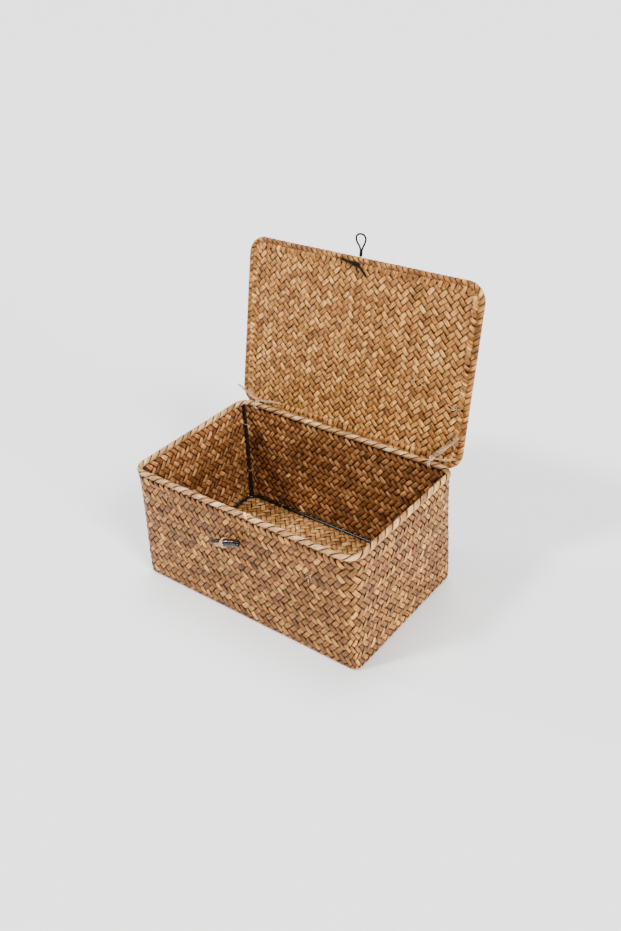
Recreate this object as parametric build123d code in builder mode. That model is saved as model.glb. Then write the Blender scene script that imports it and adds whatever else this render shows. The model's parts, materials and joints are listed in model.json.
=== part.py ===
"""Plaited storage box with a hinged lid, over a painted wire frame.

Millimetres, +Z up, X along the long side, front at -Y.
The origin is the centre of the base, on the surface that the box stands on.
The lid stands open, leaning back past the vertical, as the box rests on display.
"""

import os
from math import acos, copysign, cos, degrees, pi, radians, sin, tan

from build123d import *

# Box
box_length = 310.0        # outside the rim border, along X
box_width = 198.0         # outside the rim border, along Y
box_height = 150.0        # base to the top of the rim border
box_corner = 20.0         # outside corner of the rim border, seen from above
wall_thickness = 3.5      # two layers of plaited strand
floor_thickness = 3.5
wall_inset = 1.5          # the border stands this far proud of the wall
base_edge = 5.0           # rounding where the walls turn under
inner_base_edge = 1.5

# Lid
lid_length = 313.5        # outside the lid border, along X
lid_depth = 210.0         # outside the lid border, from hinge side to front
lid_corner = 22.0
lid_thickness = 3.5
lid_lean = 11.2           # degrees past the vertical when open

# Borders and wires
border_diameter = 7.0     # wrapped roll round the rim and round the lid
wire_diameter = 3.6
wire_play = 0.1           # between a wire and the roll around it
border_gap = 0.3          # between the rim roll and the lid roll
wire_gap = 0.3            # between the frame and the plaited wall or floor

# Twine hinge ties
twine_diameter = 1.8
tie_positions = {"left": -129.5, "right": 122.0}
tie_turns = 2
turn_gap = 0.2            # between neighbouring turns
tie_gap = 0.3             # between a turn and the rolls that it goes round
slot_gap = 0.4            # between a turn and the strands that it passes between
knot_length = 6.4
knot_diameter = 4.2
knot_place = (5.3, 4.1)   # along the lid and out from it, from the lid roll's centre

# Toggle on the front wall
toggle_length = 45.0
toggle_diameter = 8.8
toggle_left_end = 5.6     # diameter of the slimmer end
toggle_right_end = 7.4
toggle_end_round = 1.4
toggle_x = -12.0
toggle_height = 106.5
toggle_tilt = 20.5        # degrees, right end up
toggle_stand_off = 6.5    # toggle's centre line from the wall
wrap_width = 4.0
wrap_thickness = 1.1
wrap_gap = 0.05
tie_stem_diameter = 2.2
stem_hole_gap = 0.2
stem_end_gap = 0.3
stem_knot_diameter = 6.0
stem_knot_depth = 4.4

# Closure cord on the lid
cord_diameter = 1.6
whip_gap = 0.3            # between the neck's round end and the lid border
whip_length = 6.6
whip_base_diameter = 3.8
whip_tip_diameter = 3.5
closure_x = 0.4
closure_knot_size = (11.0, 5.2, 4.4)
closure_knot_x = -3.0
closure_knot_gap = 1.2    # knot's centre in from the inner side of the lid border
face_gap = 0.2            # between a knot and the face that it lies on

# Stitches that hold the wires to the weave
stitch_diameter = 1.1
stitch_gap = 0.1
stitch_heights = (48.0, 118.0)
stitch_spacing = 96.0     # along the floor wire's long sides

# Worked out from the sizes above
border_radius = border_diameter / 2
tie_pitch = twine_diameter + turn_gap
rim_z = box_height - border_radius
hinge_y = box_width / 2 - border_radius
wall_outer_y = box_width / 2 - wall_inset
wall_outer_x = box_length / 2 - wall_inset
wall_corner = box_corner - wall_inset
inner_corner = wall_corner - wall_thickness
wire_inset = wall_thickness + wire_gap + wire_diameter / 2
hinge_arm = border_diameter + border_gap
lean = radians(lid_lean)
lid_out = Vector(0, sin(lean), cos(lean))
lid_face = Vector(0, -cos(lean), sin(lean))
lid_roll = Vector(0, hinge_y, rim_z) - lid_face * hinge_arm
lid_plane = Plane(origin=lid_roll, x_dir=(1, 0, 0), z_dir=lid_face)
lid_edge = lid_depth - border_radius
closure_knot_along = lid_edge - border_diameter - closure_knot_gap
loop_pivot = lid_edge + whip_gap + whip_base_diameter / 2

# Where the closure loop runs: across the lid, out from its front edge, out from its face
loop_route = [
    (0.4, 6.1, 0.85),
    (-0.9, 10.5, 0.75),
    (-6.2, 15.3, 0.2),
    (-8.2, 20.7, 0.0),
    (-4.8, 24.4, 0.0),
    (1.6, 24.6, 0.0),
    (5.4, 20.7, 0.0),
    (4.2, 15.1, -0.2),
    (1.5, 10.5, -0.75),
    (0.4, 6.1, -0.85),
]

# Where the closure cord's two ends run: across the lid, along it from their knot, out
cord_ends = {
    "closure_end_left": [
        (-3.0, 0.0, 3.9),
        (-11.0, 0.6, 3.6),
        (-17.0, 2.1, 3.9),
        (-23.0, 2.7, 4.2),
    ],
    "closure_end_right": [
        (-0.6, 0.0, 3.9),
        (3.2, -3.0, 3.0),
        (6.8, -6.9, 2.75),
        (11.4, -11.3, 2.75),
    ],
}

# Where the free twine ends run: across from their tie, along the lid, out from its face
twine_ends = {
    "tie_end_left_up": [
        (0.0, 5.3, 4.1),
        (-6.5, 9.0, 8.4),
        (-12.0, 15.5, 13.0),
        (-16.7, 23.0, 19.0),
    ],
    "tie_end_left_side": [
        (0.0, 5.3, 4.1),
        (10.5, 6.6, 4.5),
        (21.5, 8.8, 3.9),
        (32.5, 9.6, 3.6),
    ],
    "tie_end_right_up": [
        (-0.5, 5.9, 4.4),
        (6.0, 13.5, 5.0),
        (15.5, 23.5, 3.7),
        (24.4, 32.5, 3.1),
    ],
    "tie_end_right_side": [
        (1.0, 4.9, 3.9),
        (9.0, 6.9, 4.2),
        (16.6, 7.6, 3.9),
        (23.6, 10.8, 4.4),
    ],
}


def finish(made, name):
    """Labels a finished piece and writes it to its own file."""
    made.label = name
    export_step(made, f"parts/{name}.step")
    print(f"{name}: {made.volume:.1f} mm3, {len(made.solids())} solids")


def bend_radii(points):
    """The largest arc that each corner's two runs leave room for."""
    radii = []
    for before, corner, after in zip(points, points[1:], points[2:]):
        arriving = Vector(*corner) - Vector(*before)
        leaving = Vector(*after) - Vector(*corner)
        half_turn = radians(arriving.get_angle(leaving)) / 2
        radii.append(0.45 * min(arriving.length, leaving.length) / tan(half_turn))
    return radii


def round_tube(plane, points, diameter):
    """A tube along straight runs joined by tangent arcs."""
    radii = bend_radii(points)
    with BuildPart() as tube:
        with BuildLine(plane) as route:
            FilletPolyline(*points, radius=radii)
        with BuildSketch(Plane(origin=route.line @ 0, z_dir=route.line % 0)):
            Circle(diameter / 2)
        sweep()
    length = sum(edge.length for edge in route.edges())
    filled = tube.part.volume / (pi * (diameter / 2) ** 2 * length)
    print(f"tube {length:.1f} long, filled {filled:.3f}, radii", end=" ")
    print([round(radius, 1) for radius in radii])
    return tube.part


def ring_round(plane, length, width, corner, diameter, bore=0.0):
    """A closed roll or wire round a rectangle, given its centre line's size."""
    with BuildPart() as ring:
        with BuildLine(plane) as route:
            half_x = length / 2
            half_y = width / 2
            corners = [(half_x, -half_y), (half_x, half_y), (-half_x, half_y), (-half_x, -half_y)]
            FilletPolyline(*corners, radius=corner, close=True)
        with BuildSketch(Plane(origin=route.line @ 0, z_dir=route.line % 0)):
            Circle(diameter / 2)
            if bore:
                Circle(bore / 2, mode=Mode.SUBTRACT)
        sweep()
    return ring.part


def rim_ring(diameter, bore=0.0):
    """A ring on the rim border's centre line."""
    plane = Plane.XY.offset(rim_z)
    length = box_length - border_diameter
    width = box_width - border_diameter
    return ring_round(plane, length, width, box_corner - border_radius, diameter, bore)


def lid_ring(diameter, bore=0.0):
    """A ring on the lid border's centre line."""
    length = lid_length - border_diameter
    width = lid_depth - border_diameter
    middle = Plane(
        origin=lid_plane.from_local_coords(Vector(0, width / 2, 0)),
        x_dir=lid_plane.x_dir,
        z_dir=lid_plane.z_dir,
    )
    return ring_round(middle, length, width, lid_corner - border_radius, diameter, bore)


def ellipsoid(plane, length, diameter):
    """A knot's lump: a solid of revolution about the plane's X direction."""
    with BuildPart() as lump:
        with BuildSketch(plane):
            Ellipse(length / 2, diameter / 2)
            with Locations((0, -diameter)):
                Rectangle(2 * length, 2 * diameter, mode=Mode.SUBTRACT)
        revolve(axis=Axis(plane.origin, plane.x_dir))
    return lump.part


def lid_frame(x, along, out):
    """The lid's own plane, moved to a point given across, along and out from it."""
    return Plane(
        origin=lid_plane.from_local_coords(Vector(x, along, out)),
        x_dir=lid_plane.x_dir,
        z_dir=lid_plane.z_dir,
    )


def tie_turn_offsets():
    """Where each turn of a tie lies, counted from the tie's middle."""
    return [(turn - (tie_turns - 1) / 2) * tie_pitch for turn in range(tie_turns)]


def slot_width():
    """The gap between strands that a tie's turns pass through."""
    return (tie_turns - 1) * tie_pitch + twine_diameter + 2 * slot_gap


def slot_reach(slant=0.0):
    """How far a tie's slot runs from the centre of the roll beside it."""
    outside = (border_radius + tie_gap + twine_diameter) / cos(slant)
    return outside + wall_thickness / 2 * tan(slant) + slot_gap


def make_woven_body(rim_roll):
    """The plaited walls and floor, open at the top and hollowed to seat the rim roll."""
    with BuildPart() as woven_body:
        with BuildSketch(Plane.XY):
            RectangleRounded(2 * wall_outer_x, 2 * wall_outer_y, wall_corner)
        extrude(amount=rim_z)
        fillet(woven_body.faces().sort_by(Axis.Z)[0].edges(), base_edge)
        with BuildPart(mode=Mode.PRIVATE) as hollow:
            with BuildSketch(Plane.XY.offset(floor_thickness)):
                inner_x = 2 * (wall_outer_x - wall_thickness)
                inner_y = 2 * (wall_outer_y - wall_thickness)
                RectangleRounded(inner_x, inner_y, inner_corner)
            extrude(amount=box_height)
            fillet(hollow.faces().sort_by(Axis.Z)[0].edges(), inner_base_edge)
        add(hollow.part, mode=Mode.SUBTRACT)
        add(rim_roll, mode=Mode.SUBTRACT)
        for tie_x in tie_positions.values():
            with Locations((tie_x, wall_outer_y - wall_thickness / 2, rim_z)):
                Box(slot_width(), 2 * wall_thickness, 2 * slot_reach(lean), mode=Mode.SUBTRACT)
        with Locations(Plane(origin=(toggle_x, -wall_outer_y, toggle_height), z_dir=(0, 1, 0))):
            hole = tie_stem_diameter + 2 * stem_hole_gap
            Cylinder(hole / 2, 4 * wall_thickness, mode=Mode.SUBTRACT)
    return woven_body.part


def make_lid_panel(lid_roll_solid):
    """The plaited lid sheet, its edge hollowed to seat the lid roll."""
    length = lid_length - border_diameter
    width = lid_depth - border_diameter
    with BuildPart() as lid_panel:
        with BuildSketch(lid_frame(0, width / 2, -lid_thickness / 2)):
            RectangleRounded(length, width, lid_corner - border_radius)
        extrude(amount=lid_thickness)
        add(lid_roll_solid, mode=Mode.SUBTRACT)
        for tie_x in tie_positions.values():
            with Locations(lid_frame(tie_x, 0, 0)):
                Box(slot_width(), 2 * slot_reach(), 2 * lid_thickness, mode=Mode.SUBTRACT)
    return lid_panel.part


def make_hinge_tie(tie_x, knot):
    """Turns of twine round the rim roll and the lid roll, which the lid swings on."""
    turn_radius = border_radius + tie_gap + twine_diameter / 2
    with BuildPart() as hinge_tie:
        for offset_x in tie_turn_offsets():
            side = Plane(
                origin=lid_plane.from_local_coords(Vector(tie_x + offset_x, 0, 0)),
                x_dir=lid_out,
                z_dir=(1, 0, 0),
            )
            with BuildLine(side) as racetrack:
                Line((turn_radius, 0), (turn_radius, hinge_arm))
                CenterArc((0, hinge_arm), turn_radius, 0, 180)
                Line((-turn_radius, hinge_arm), (-turn_radius, 0))
                CenterArc((0, 0), turn_radius, 180, 180)
            with BuildSketch(Plane(origin=racetrack.line @ 0, z_dir=racetrack.line % 0)):
                Circle(twine_diameter / 2)
            sweep(path=racetrack.line)
        add(knot, mode=Mode.SUBTRACT)
    return hinge_tie.part


def make_end(plane, route, diameter, knot):
    """A free end of twine or cord that comes out of its knot."""
    with BuildPart() as end:
        add(round_tube(plane, route, diameter))
        add(knot, mode=Mode.SUBTRACT)
    return end.part


def corner_points():
    """The four corner posts' names and places."""
    arm = (inner_corner - wire_gap - wire_diameter / 2) / 2 ** 0.5
    post_x = wall_outer_x - wall_corner + arm
    post_y = wall_outer_y - wall_corner + arm
    names = {"front": -1, "back": 1}
    sides = {"left": -1, "right": 1}
    return {
        f"corner_post_{depth}_{side}": (x_sign * post_x, y_sign * post_y)
        for depth, y_sign in names.items()
        for side, x_sign in sides.items()
    }


def make_post(place, rim_roll, floor_wire):
    """A straight post that stands on the floor wire and ends in the rim roll."""
    foot_z = floor_thickness + wire_gap + wire_diameter / 2
    with BuildPart() as post:
        with BuildSketch(Plane(origin=(*place, foot_z), z_dir=(0, 0, 1))):
            Circle(wire_diameter / 2)
        extrude(amount=rim_z - foot_z)
        add(rim_roll, mode=Mode.SUBTRACT)
        add(floor_wire, mode=Mode.SUBTRACT)
        post_body = post.solids().sort_by(SortBy.VOLUME)[-1]
    with BuildPart() as kept:
        add(post_body)
    return kept.part


def stitch_places():
    """Each stitch's plane, X towards the weave, and the turn to its last neighbour."""
    foot_z = floor_thickness + wire_gap + wire_diameter / 2
    line_x = wall_outer_x - wire_inset
    line_y = wall_outer_y - wire_inset
    places = []
    for post_x, post_y in corner_points().values():
        outward = (copysign(1, post_x), copysign(1, post_y), 0)
        for height in stitch_heights:
            plane = Plane(origin=(post_x, post_y, height), x_dir=outward, z_dir=(0, 0, 1))
            places.append((plane, 0))
    for sign in (-1, 1):
        for step in (-1, 0, 1):
            middle = (step * stitch_spacing, sign * line_y, foot_z)
            plane = Plane(origin=middle, x_dir=(0, sign, 0), z_dir=(-sign, 0, 0))
            places.append((plane, 90))
        middle = (sign * line_x, 0, foot_z)
        places.append((Plane(origin=middle, x_dir=(sign, 0, 0), z_dir=(0, sign, 0)), 90))
    return places


def make_stitches():
    """Loops of string round the wires, which end where they go into the weave."""
    loop_radius = (wire_diameter + stitch_diameter) / 2 + stitch_gap
    reach = wire_diameter / 2 + wire_gap - stitch_diameter / 2 - face_gap
    clear = degrees(acos(reach / loop_radius))
    with BuildPart() as frame_stitches:
        for plane, turn in stitch_places():
            start = (0, 0, turn + clear)
            span = 360 - turn - 2 * clear
            with Locations(plane):
                Torus(
                    loop_radius,
                    stitch_diameter / 2,
                    major_angle=span,
                    rotation=start,
                    align=None,
                )
    return frame_stitches.part


def toggle_plane(along=0.0):
    """A plane across the toggle, which lies along the wall, right end up."""
    tilt = radians(toggle_tilt)
    middle = Vector(toggle_x, -wall_outer_y - toggle_stand_off, toggle_height)
    direction = Vector(cos(tilt), 0, sin(tilt))
    return Plane(origin=middle + direction * along, x_dir=(0, -1, 0), z_dir=direction)


def make_toggle():
    """The turned horn toggle, fullest in the middle and slimmer at its left end."""
    half = toggle_length / 2
    tilt = radians(toggle_tilt)
    direction = Vector(cos(tilt), 0, sin(tilt))
    side = Plane(origin=toggle_plane().origin, x_dir=direction, z_dir=(0, -1, 0))
    with BuildPart() as toggle:
        with BuildSketch(side):
            with BuildLine():
                left = (-half, toggle_left_end / 2)
                right = (half, toggle_right_end / 2)
                outline = ThreePointArc(left, (0, toggle_diameter / 2), right)
                Polyline(outline @ 1, (half, 0), (-half, 0), outline @ 0)
            make_face()
        revolve(axis=Axis(side.origin, direction))
        fillet(toggle.edges().filter_by(GeomType.CIRCLE), toggle_end_round)
    return toggle.part


def make_toggle_wrap(toggle):
    """A band of twine turns round the toggle's middle."""
    outer = toggle_diameter / 2 + wrap_gap + wrap_thickness
    with BuildPart() as toggle_wrap:
        with BuildSketch(toggle_plane(-wrap_width / 2)):
            Circle(outer)
            Circle(toggle_diameter / 2 + wrap_gap, mode=Mode.SUBTRACT)
        extrude(amount=wrap_width)
        outside = toggle_wrap.edges().filter_by(GeomType.CIRCLE).group_by(SortBy.RADIUS)[-1]
    fillet(outside, wrap_thickness * 0.45)
    return toggle_wrap.part


def make_toggle_tie():
    """The twine through the front wall, with its knot inside the box."""
    wrap_back = toggle_diameter / 2 + wrap_gap + wrap_thickness
    stem_front = -wall_outer_y - toggle_stand_off + wrap_back + stem_end_gap
    inner_face = -wall_outer_y + wall_thickness
    knot_y = inner_face + face_gap + stem_knot_depth / 2
    with BuildPart() as toggle_tie:
        with BuildSketch(Plane(origin=(toggle_x, stem_front, toggle_height), z_dir=(0, 1, 0))):
            Circle(tie_stem_diameter / 2)
        extrude(amount=knot_y - stem_front)
        knot_plane = Plane(origin=(toggle_x, knot_y, toggle_height), x_dir=(0, 1, 0), z_dir=(1, 0, 0))
        add(ellipsoid(knot_plane, stem_knot_depth, stem_knot_diameter))
    return toggle_tie.part


def make_whipping():
    """The tight wrap at the loop's neck, round-ended where the loop swings."""
    base = whip_base_diameter / 2
    tip = whip_tip_diameter / 2
    with BuildPart() as loop_whipping:
        with BuildSketch(lid_frame(closure_x, loop_pivot, 0)):
            with BuildLine():
                CenterArc((0, 0), base, -90, 90)
                Polyline((base, 0), (tip, whip_length), (0, whip_length), (0, -base))
            make_face()
        revolve(axis=Axis(lid_frame(closure_x, loop_pivot, 0).origin, lid_out))
    return loop_whipping.part


def make_closure_knot():
    """The closure cord's knot on the lid's inner face."""
    length, width, depth = closure_knot_size
    out = lid_thickness / 2 + face_gap + depth / 2
    with BuildPart() as closure_knot:
        middle = lid_frame(closure_knot_x, closure_knot_along, out)
        add(ellipsoid(middle, length, (width + depth) / 2))
    return closure_knot.part


def build_box():
    """The woven box, its rim, its wire frame and the toggle's tie."""
    rim_roll = rim_ring(border_diameter)
    woven_body = make_woven_body(rim_roll)
    finish(woven_body, "woven_body")
    finish(rim_ring(border_diameter, wire_diameter + 2 * wire_play), "rim_border")
    finish(rim_ring(wire_diameter), "rim_wire")
    floor_wire = ring_round(
        Plane.XY.offset(floor_thickness + wire_gap + wire_diameter / 2),
        2 * (wall_outer_x - wire_inset),
        2 * (wall_outer_y - wire_inset),
        wall_corner - wire_inset,
        wire_diameter,
    )
    finish(floor_wire, "floor_wire")
    for name, place in corner_points().items():
        finish(make_post(place, rim_roll, floor_wire), name)
    finish(make_stitches(), "frame_stitches")
    finish(make_toggle_tie(), "toggle_tie")


def build_lid():
    """The lid, its border and wire, the hinge ties and the closure cord's knot."""
    finish(make_lid_panel(lid_ring(border_diameter)), "lid_panel")
    finish(lid_ring(border_diameter, wire_diameter + 2 * wire_play), "lid_border")
    finish(lid_ring(wire_diameter), "lid_wire")
    for side, tie_x in tie_positions.items():
        knot = ellipsoid(lid_frame(tie_x, *knot_place), knot_length, knot_diameter)
        finish(knot, f"hinge_knot_{side}")
        finish(make_hinge_tie(tie_x, knot), f"hinge_tie_{side}")
        for name, route in twine_ends.items():
            if side in name:
                finish(make_end(lid_frame(tie_x, 0, 0), route, twine_diameter, knot), name)
    closure_knot = make_closure_knot()
    finish(closure_knot, "closure_knot")
    for name, route in cord_ends.items():
        start = lid_frame(0, closure_knot_along, 0)
        end = make_end(start, route, cord_diameter, closure_knot)
        finish(end, name)


def build_loop():
    """The closure loop and the whipping at its neck."""
    loop_whipping = make_whipping()
    finish(loop_whipping, "loop_whipping")
    loop = make_end(lid_frame(0, lid_edge, 0), loop_route, cord_diameter, loop_whipping)
    finish(loop, "closure_loop")


def build_toggle():
    """The toggle and the twine wrapped round it."""
    toggle = make_toggle()
    finish(toggle, "toggle")
    finish(make_toggle_wrap(toggle), "toggle_wrap")


os.makedirs("parts", exist_ok=True)
build_box()
build_lid()
build_loop()
build_toggle()
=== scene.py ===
"""Plaited seagrass storage box: strands, borders, twine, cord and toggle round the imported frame.

Every length in this file is in millimetres until a mesh is made, which is in metres.
"""

import json
import logging
import math
from dataclasses import dataclass, field, replace
from enum import Enum
from typing import Callable, ClassVar, Iterator, Optional, Protocol, Sequence

import bpy
import numpy as np
from mathutils import Matrix, Vector


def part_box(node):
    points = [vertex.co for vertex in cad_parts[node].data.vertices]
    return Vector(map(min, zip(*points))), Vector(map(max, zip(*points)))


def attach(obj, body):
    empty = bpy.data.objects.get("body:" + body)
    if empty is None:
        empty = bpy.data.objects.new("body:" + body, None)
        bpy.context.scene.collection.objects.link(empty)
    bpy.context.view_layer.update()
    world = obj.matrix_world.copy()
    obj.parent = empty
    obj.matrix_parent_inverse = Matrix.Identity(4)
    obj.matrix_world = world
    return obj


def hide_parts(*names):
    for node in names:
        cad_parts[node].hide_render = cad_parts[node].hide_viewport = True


MM = 0.001
LOG = logging.getLogger("plaited_box")

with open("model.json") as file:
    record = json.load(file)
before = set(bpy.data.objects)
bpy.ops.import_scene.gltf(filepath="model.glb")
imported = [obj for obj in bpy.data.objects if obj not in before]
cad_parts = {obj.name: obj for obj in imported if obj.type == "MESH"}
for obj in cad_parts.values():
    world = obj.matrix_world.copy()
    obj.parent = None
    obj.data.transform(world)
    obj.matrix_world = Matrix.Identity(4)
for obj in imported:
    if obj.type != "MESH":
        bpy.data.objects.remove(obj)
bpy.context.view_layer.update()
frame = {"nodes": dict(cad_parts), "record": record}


class Twill(Enum):
    """Which way the crossings of a two-over-two plait line up."""

    COLUMNS = "columns"
    ROWS = "rows"


class Body(Enum):
    """The rigid parts that pieces ride on."""

    BOX = "box"
    LID = "lid"
    LOOP = "loop"
    TOGGLE = "toggle_bar"


class Slot(Enum):
    """The record's material slots."""

    SEAGRASS = "seagrass"
    BORDER = "border_straw"
    WIRE = "black_wire"
    TWINE = "twine"
    CORD = "black_cord"
    HORN = "horn"


# ---------------------------------------------------------------- surfaces


def unit(vectors: np.ndarray) -> np.ndarray:
    """Returns the vectors scaled to length one."""
    return vectors / np.maximum(np.linalg.norm(vectors, axis=-1, keepdims=True), 1e-12)


def eased(share: np.ndarray) -> np.ndarray:
    """Shares from 0 to 1, with a soft start and a soft end."""
    return share * share * (3 - 2 * share)


def around(angle: np.ndarray, one: np.ndarray, two: np.ndarray) -> np.ndarray:
    """Directions that have turned by angles from one direction towards another."""
    return np.cos(angle)[..., None] * one + np.sin(angle)[..., None] * two


def walked_along(path: np.ndarray) -> np.ndarray:
    """The distance walked along a path at each of its points."""
    return np.concatenate([[0], np.cumsum(np.linalg.norm(np.diff(path, axis=0), axis=1))])


class Surface(Protocol):
    """A face that strands can be laid on."""

    def place(self, u: np.ndarray, v: np.ndarray, h: np.ndarray) -> np.ndarray:
        """Turns face coordinates and a height into points."""


@dataclass(frozen=True)
class Side:
    """A straight side of a ring, and the corner that follows it.

    run is the side's length, start where it begins, facing its outward direction in degrees,
    and centre the middle of the corner. slide says how far the side's two ends move along it,
    for every millimetre that the corner radius shrinks.
    """

    run: float
    start: tuple[float, float]
    facing: float
    centre: tuple[float, float]
    slide: tuple[float, float] = (-1.0, 1.0)

    @property
    def angle(self) -> float:
        """The outward direction's angle, in radians."""
        return math.radians(self.facing)

    @property
    def normal(self) -> np.ndarray:
        """The outward direction."""
        return np.array([math.cos(self.angle), math.sin(self.angle)])

    @property
    def along(self) -> np.ndarray:
        """The direction walked."""
        return np.array([-self.normal[1], self.normal[0]])


@dataclass(frozen=True)
class Ring:
    """A rounded rectangle's outline, walked anticlockwise from the middle of its lower side.

    half_x and half_y are half its sizes and corner is its corner radius.
    """

    half_x: float
    half_y: float
    corner: float

    @property
    def length(self) -> float:
        """The distance once round."""
        sides = 4 * (self.half_x - self.corner) + 4 * (self.half_y - self.corner)
        return sides + 2 * math.pi * self.corner

    @property
    def sides(self) -> tuple[Side, ...]:
        """The sides in the order walked; the first and the last are two halves of one."""
        flat_x, flat_y = self.half_x - self.corner, self.half_y - self.corner
        return (
            Side(flat_x, (0.0, -self.half_y), -90.0, (flat_x, -flat_y), (0.0, 1.0)),
            Side(2 * flat_y, (self.half_x, -flat_y), 0.0, (flat_x, flat_y)),
            Side(2 * flat_x, (flat_x, self.half_y), 90.0, (-flat_x, flat_y)),
            Side(2 * flat_y, (-self.half_x, flat_y), 180.0, (-flat_x, -flat_y)),
            Side(flat_x, (-flat_x, -self.half_y), 270.0, (-flat_x, -flat_y), (-1.0, 0.0)),
        )

    def stretches(
        self, walked: np.ndarray
    ) -> Iterator[tuple[Side, bool, np.ndarray, np.ndarray]]:
        """Sorts distances into the outline's straight sides and corners.

        Args:
            walked: distances along the outline.

        Returns:
            For each stretch in turn: its side, whether it is the corner after that side, which
            of the distances lie on it, and how far past its start those are.
        """
        left = np.mod(walked, self.length)
        arc = math.pi * self.corner / 2
        sides = self.sides
        begun = 0.0
        for side in sides:
            bend = 0.0 if side is sides[-1] else arc
            for bent, run in ((False, side.run), (True, bend)):
                here = (left >= begun) & (left < begun + run)
                yield side, bent, here, left[here] - begun
                begun += run

    def at(self, walked: np.ndarray) -> tuple[np.ndarray, np.ndarray]:
        """Places and outward directions along the outline.

        Args:
            walked: distances along the outline.

        Returns:
            Two arrays of plane points: the places, and the outward directions.
        """
        place = np.zeros(walked.shape + (2,))
        out = np.zeros(walked.shape + (2,))
        for side, bent, here, past in self.stretches(walked):
            if bent:
                out[here] = around(side.angle + past / self.corner, np.array([1.0, 0.0]),
                                   np.array([0.0, 1.0]))
                place[here] = np.array(side.centre) + self.corner * out[here]
            else:
                out[here] = side.normal
                place[here] = np.array(side.start) + past[:, None] * side.along
        return place, out

    def sharpening(self, walked: np.ndarray) -> np.ndarray:
        """How each place moves, for every millimetre that the corner radius shrinks.

        Args:
            walked: distances along the outline.

        Returns:
            An array of plane moves.
        """
        move = np.zeros(walked.shape + (2,))
        for side, bent, here, past in self.stretches(walked):
            if bent:
                turned = past / self.corner
                outward, onward = 1 - np.cos(turned), 1 - np.sin(turned)
                move[here] = outward[:, None] * side.normal + onward[:, None] * side.along
            else:
                first, last = side.slide
                share = past / side.run
                move[here] = (first + (last - first) * share)[:, None] * side.along
        return move

    def inset(self, point: np.ndarray) -> np.ndarray:
        """How far plane points lie inside the outline; outside is negative."""
        reach = np.abs(point) - (np.array([self.half_x, self.half_y]) - self.corner)
        outside = np.linalg.norm(np.maximum(reach, 0), axis=-1)
        inside = np.minimum(np.max(reach, axis=-1), 0)
        return self.corner - outside - inside


@dataclass(frozen=True)
class Flat:
    """A flat face with its own two directions and a normal."""

    origin: tuple[float, float, float]
    across: tuple[float, float, float]
    along: tuple[float, float, float]
    normal: tuple[float, float, float]

    def place(self, u: np.ndarray, v: np.ndarray, h: np.ndarray) -> np.ndarray:
        """Turns face coordinates and a height into points."""
        parts = [np.array(d) for d in (self.across, self.along, self.normal)]
        return np.array(self.origin) + sum(c[..., None] * d for c, d in zip((u, v, h), parts))

    @property
    def turned(self) -> Matrix:
        """Its three directions as the columns of a matrix."""
        return Matrix((self.across, self.along, self.normal)).transposed()


@dataclass(frozen=True)
class Wall:
    """The middle of the four walls, turned under at the bottom.

    ring is the plan outline, floor_z the middle of the floor, and turn the radius of the bend.
    The corners tighten by sharper towards the base, below the height over.
    """

    ring: Ring
    floor_z: float
    turn: float
    sharper: float = 8.0
    over: float = 125.0

    def place(self, u: np.ndarray, v: np.ndarray, h: np.ndarray) -> np.ndarray:
        """Turns distance round, height and offset outward into points."""
        top = self.floor_z + self.turn
        bend = np.clip((top - v) / self.turn, 0, math.pi / 2)
        past = np.maximum(top - v - self.turn * math.pi / 2, 0)
        spot, out = self.ring.at(u)
        tighten = self.sharper * eased(np.clip(1 - v / self.over, 0, 1))
        spot = spot + self.ring.sharpening(u) * tighten[..., None]
        offset = h * np.cos(bend) - self.turn * (1 - np.cos(bend)) - past
        z = np.where(v > top, v, top - self.turn * np.sin(bend)) - h * np.sin(bend)
        return np.concatenate([spot + out * offset[..., None], z[..., None]], -1)


@dataclass(frozen=True)
class Roll:
    """The outside of a round roll that follows a ring lying in a flat face."""

    ring: Ring
    face: Flat
    centre: tuple[float, float]
    radius: float

    def place(self, u: np.ndarray, v: np.ndarray, h: np.ndarray) -> np.ndarray:
        """Turns distance round the ring, round the roll, and height into points."""
        spot, out = self.ring.at(u)
        angle = v / self.radius
        reach = self.radius + h
        flat = np.array(self.centre) + spot + out * (reach * np.cos(angle))[..., None]
        return self.face.place(flat[..., 0], flat[..., 1], reach * np.sin(angle))


# ---------------------------------------------------------------- mesh making

# A flat strand's cross-section, from edge to edge and from face to face.
SECTION = np.array([
    (-1.0, 0.0), (-0.86, 0.76), (0.0, 1.0), (0.86, 0.76),
    (1.0, 0.0), (0.86, -0.76), (0.0, -1.0), (-0.86, -0.76),
])
# How thick each ply is against a rope of that many.
PLY_SHARE = {2: 0.55, 3: 0.52}


@dataclass
class Strip:
    """One flat strand laid on a surface.

    line holds surface coordinates and lift its height there. shade says how far the strand has
    come up out of the plait, and where it is low painted shade and dirt darken it; chance is a
    random tone for each point, and tilt how it leans to one edge.
    """

    line: np.ndarray
    lift: np.ndarray
    half_width: np.ndarray
    half_thick: np.ndarray
    seed: float
    shade: np.ndarray
    chance: Optional[np.ndarray] = None
    tilt: float = 0.0


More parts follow.
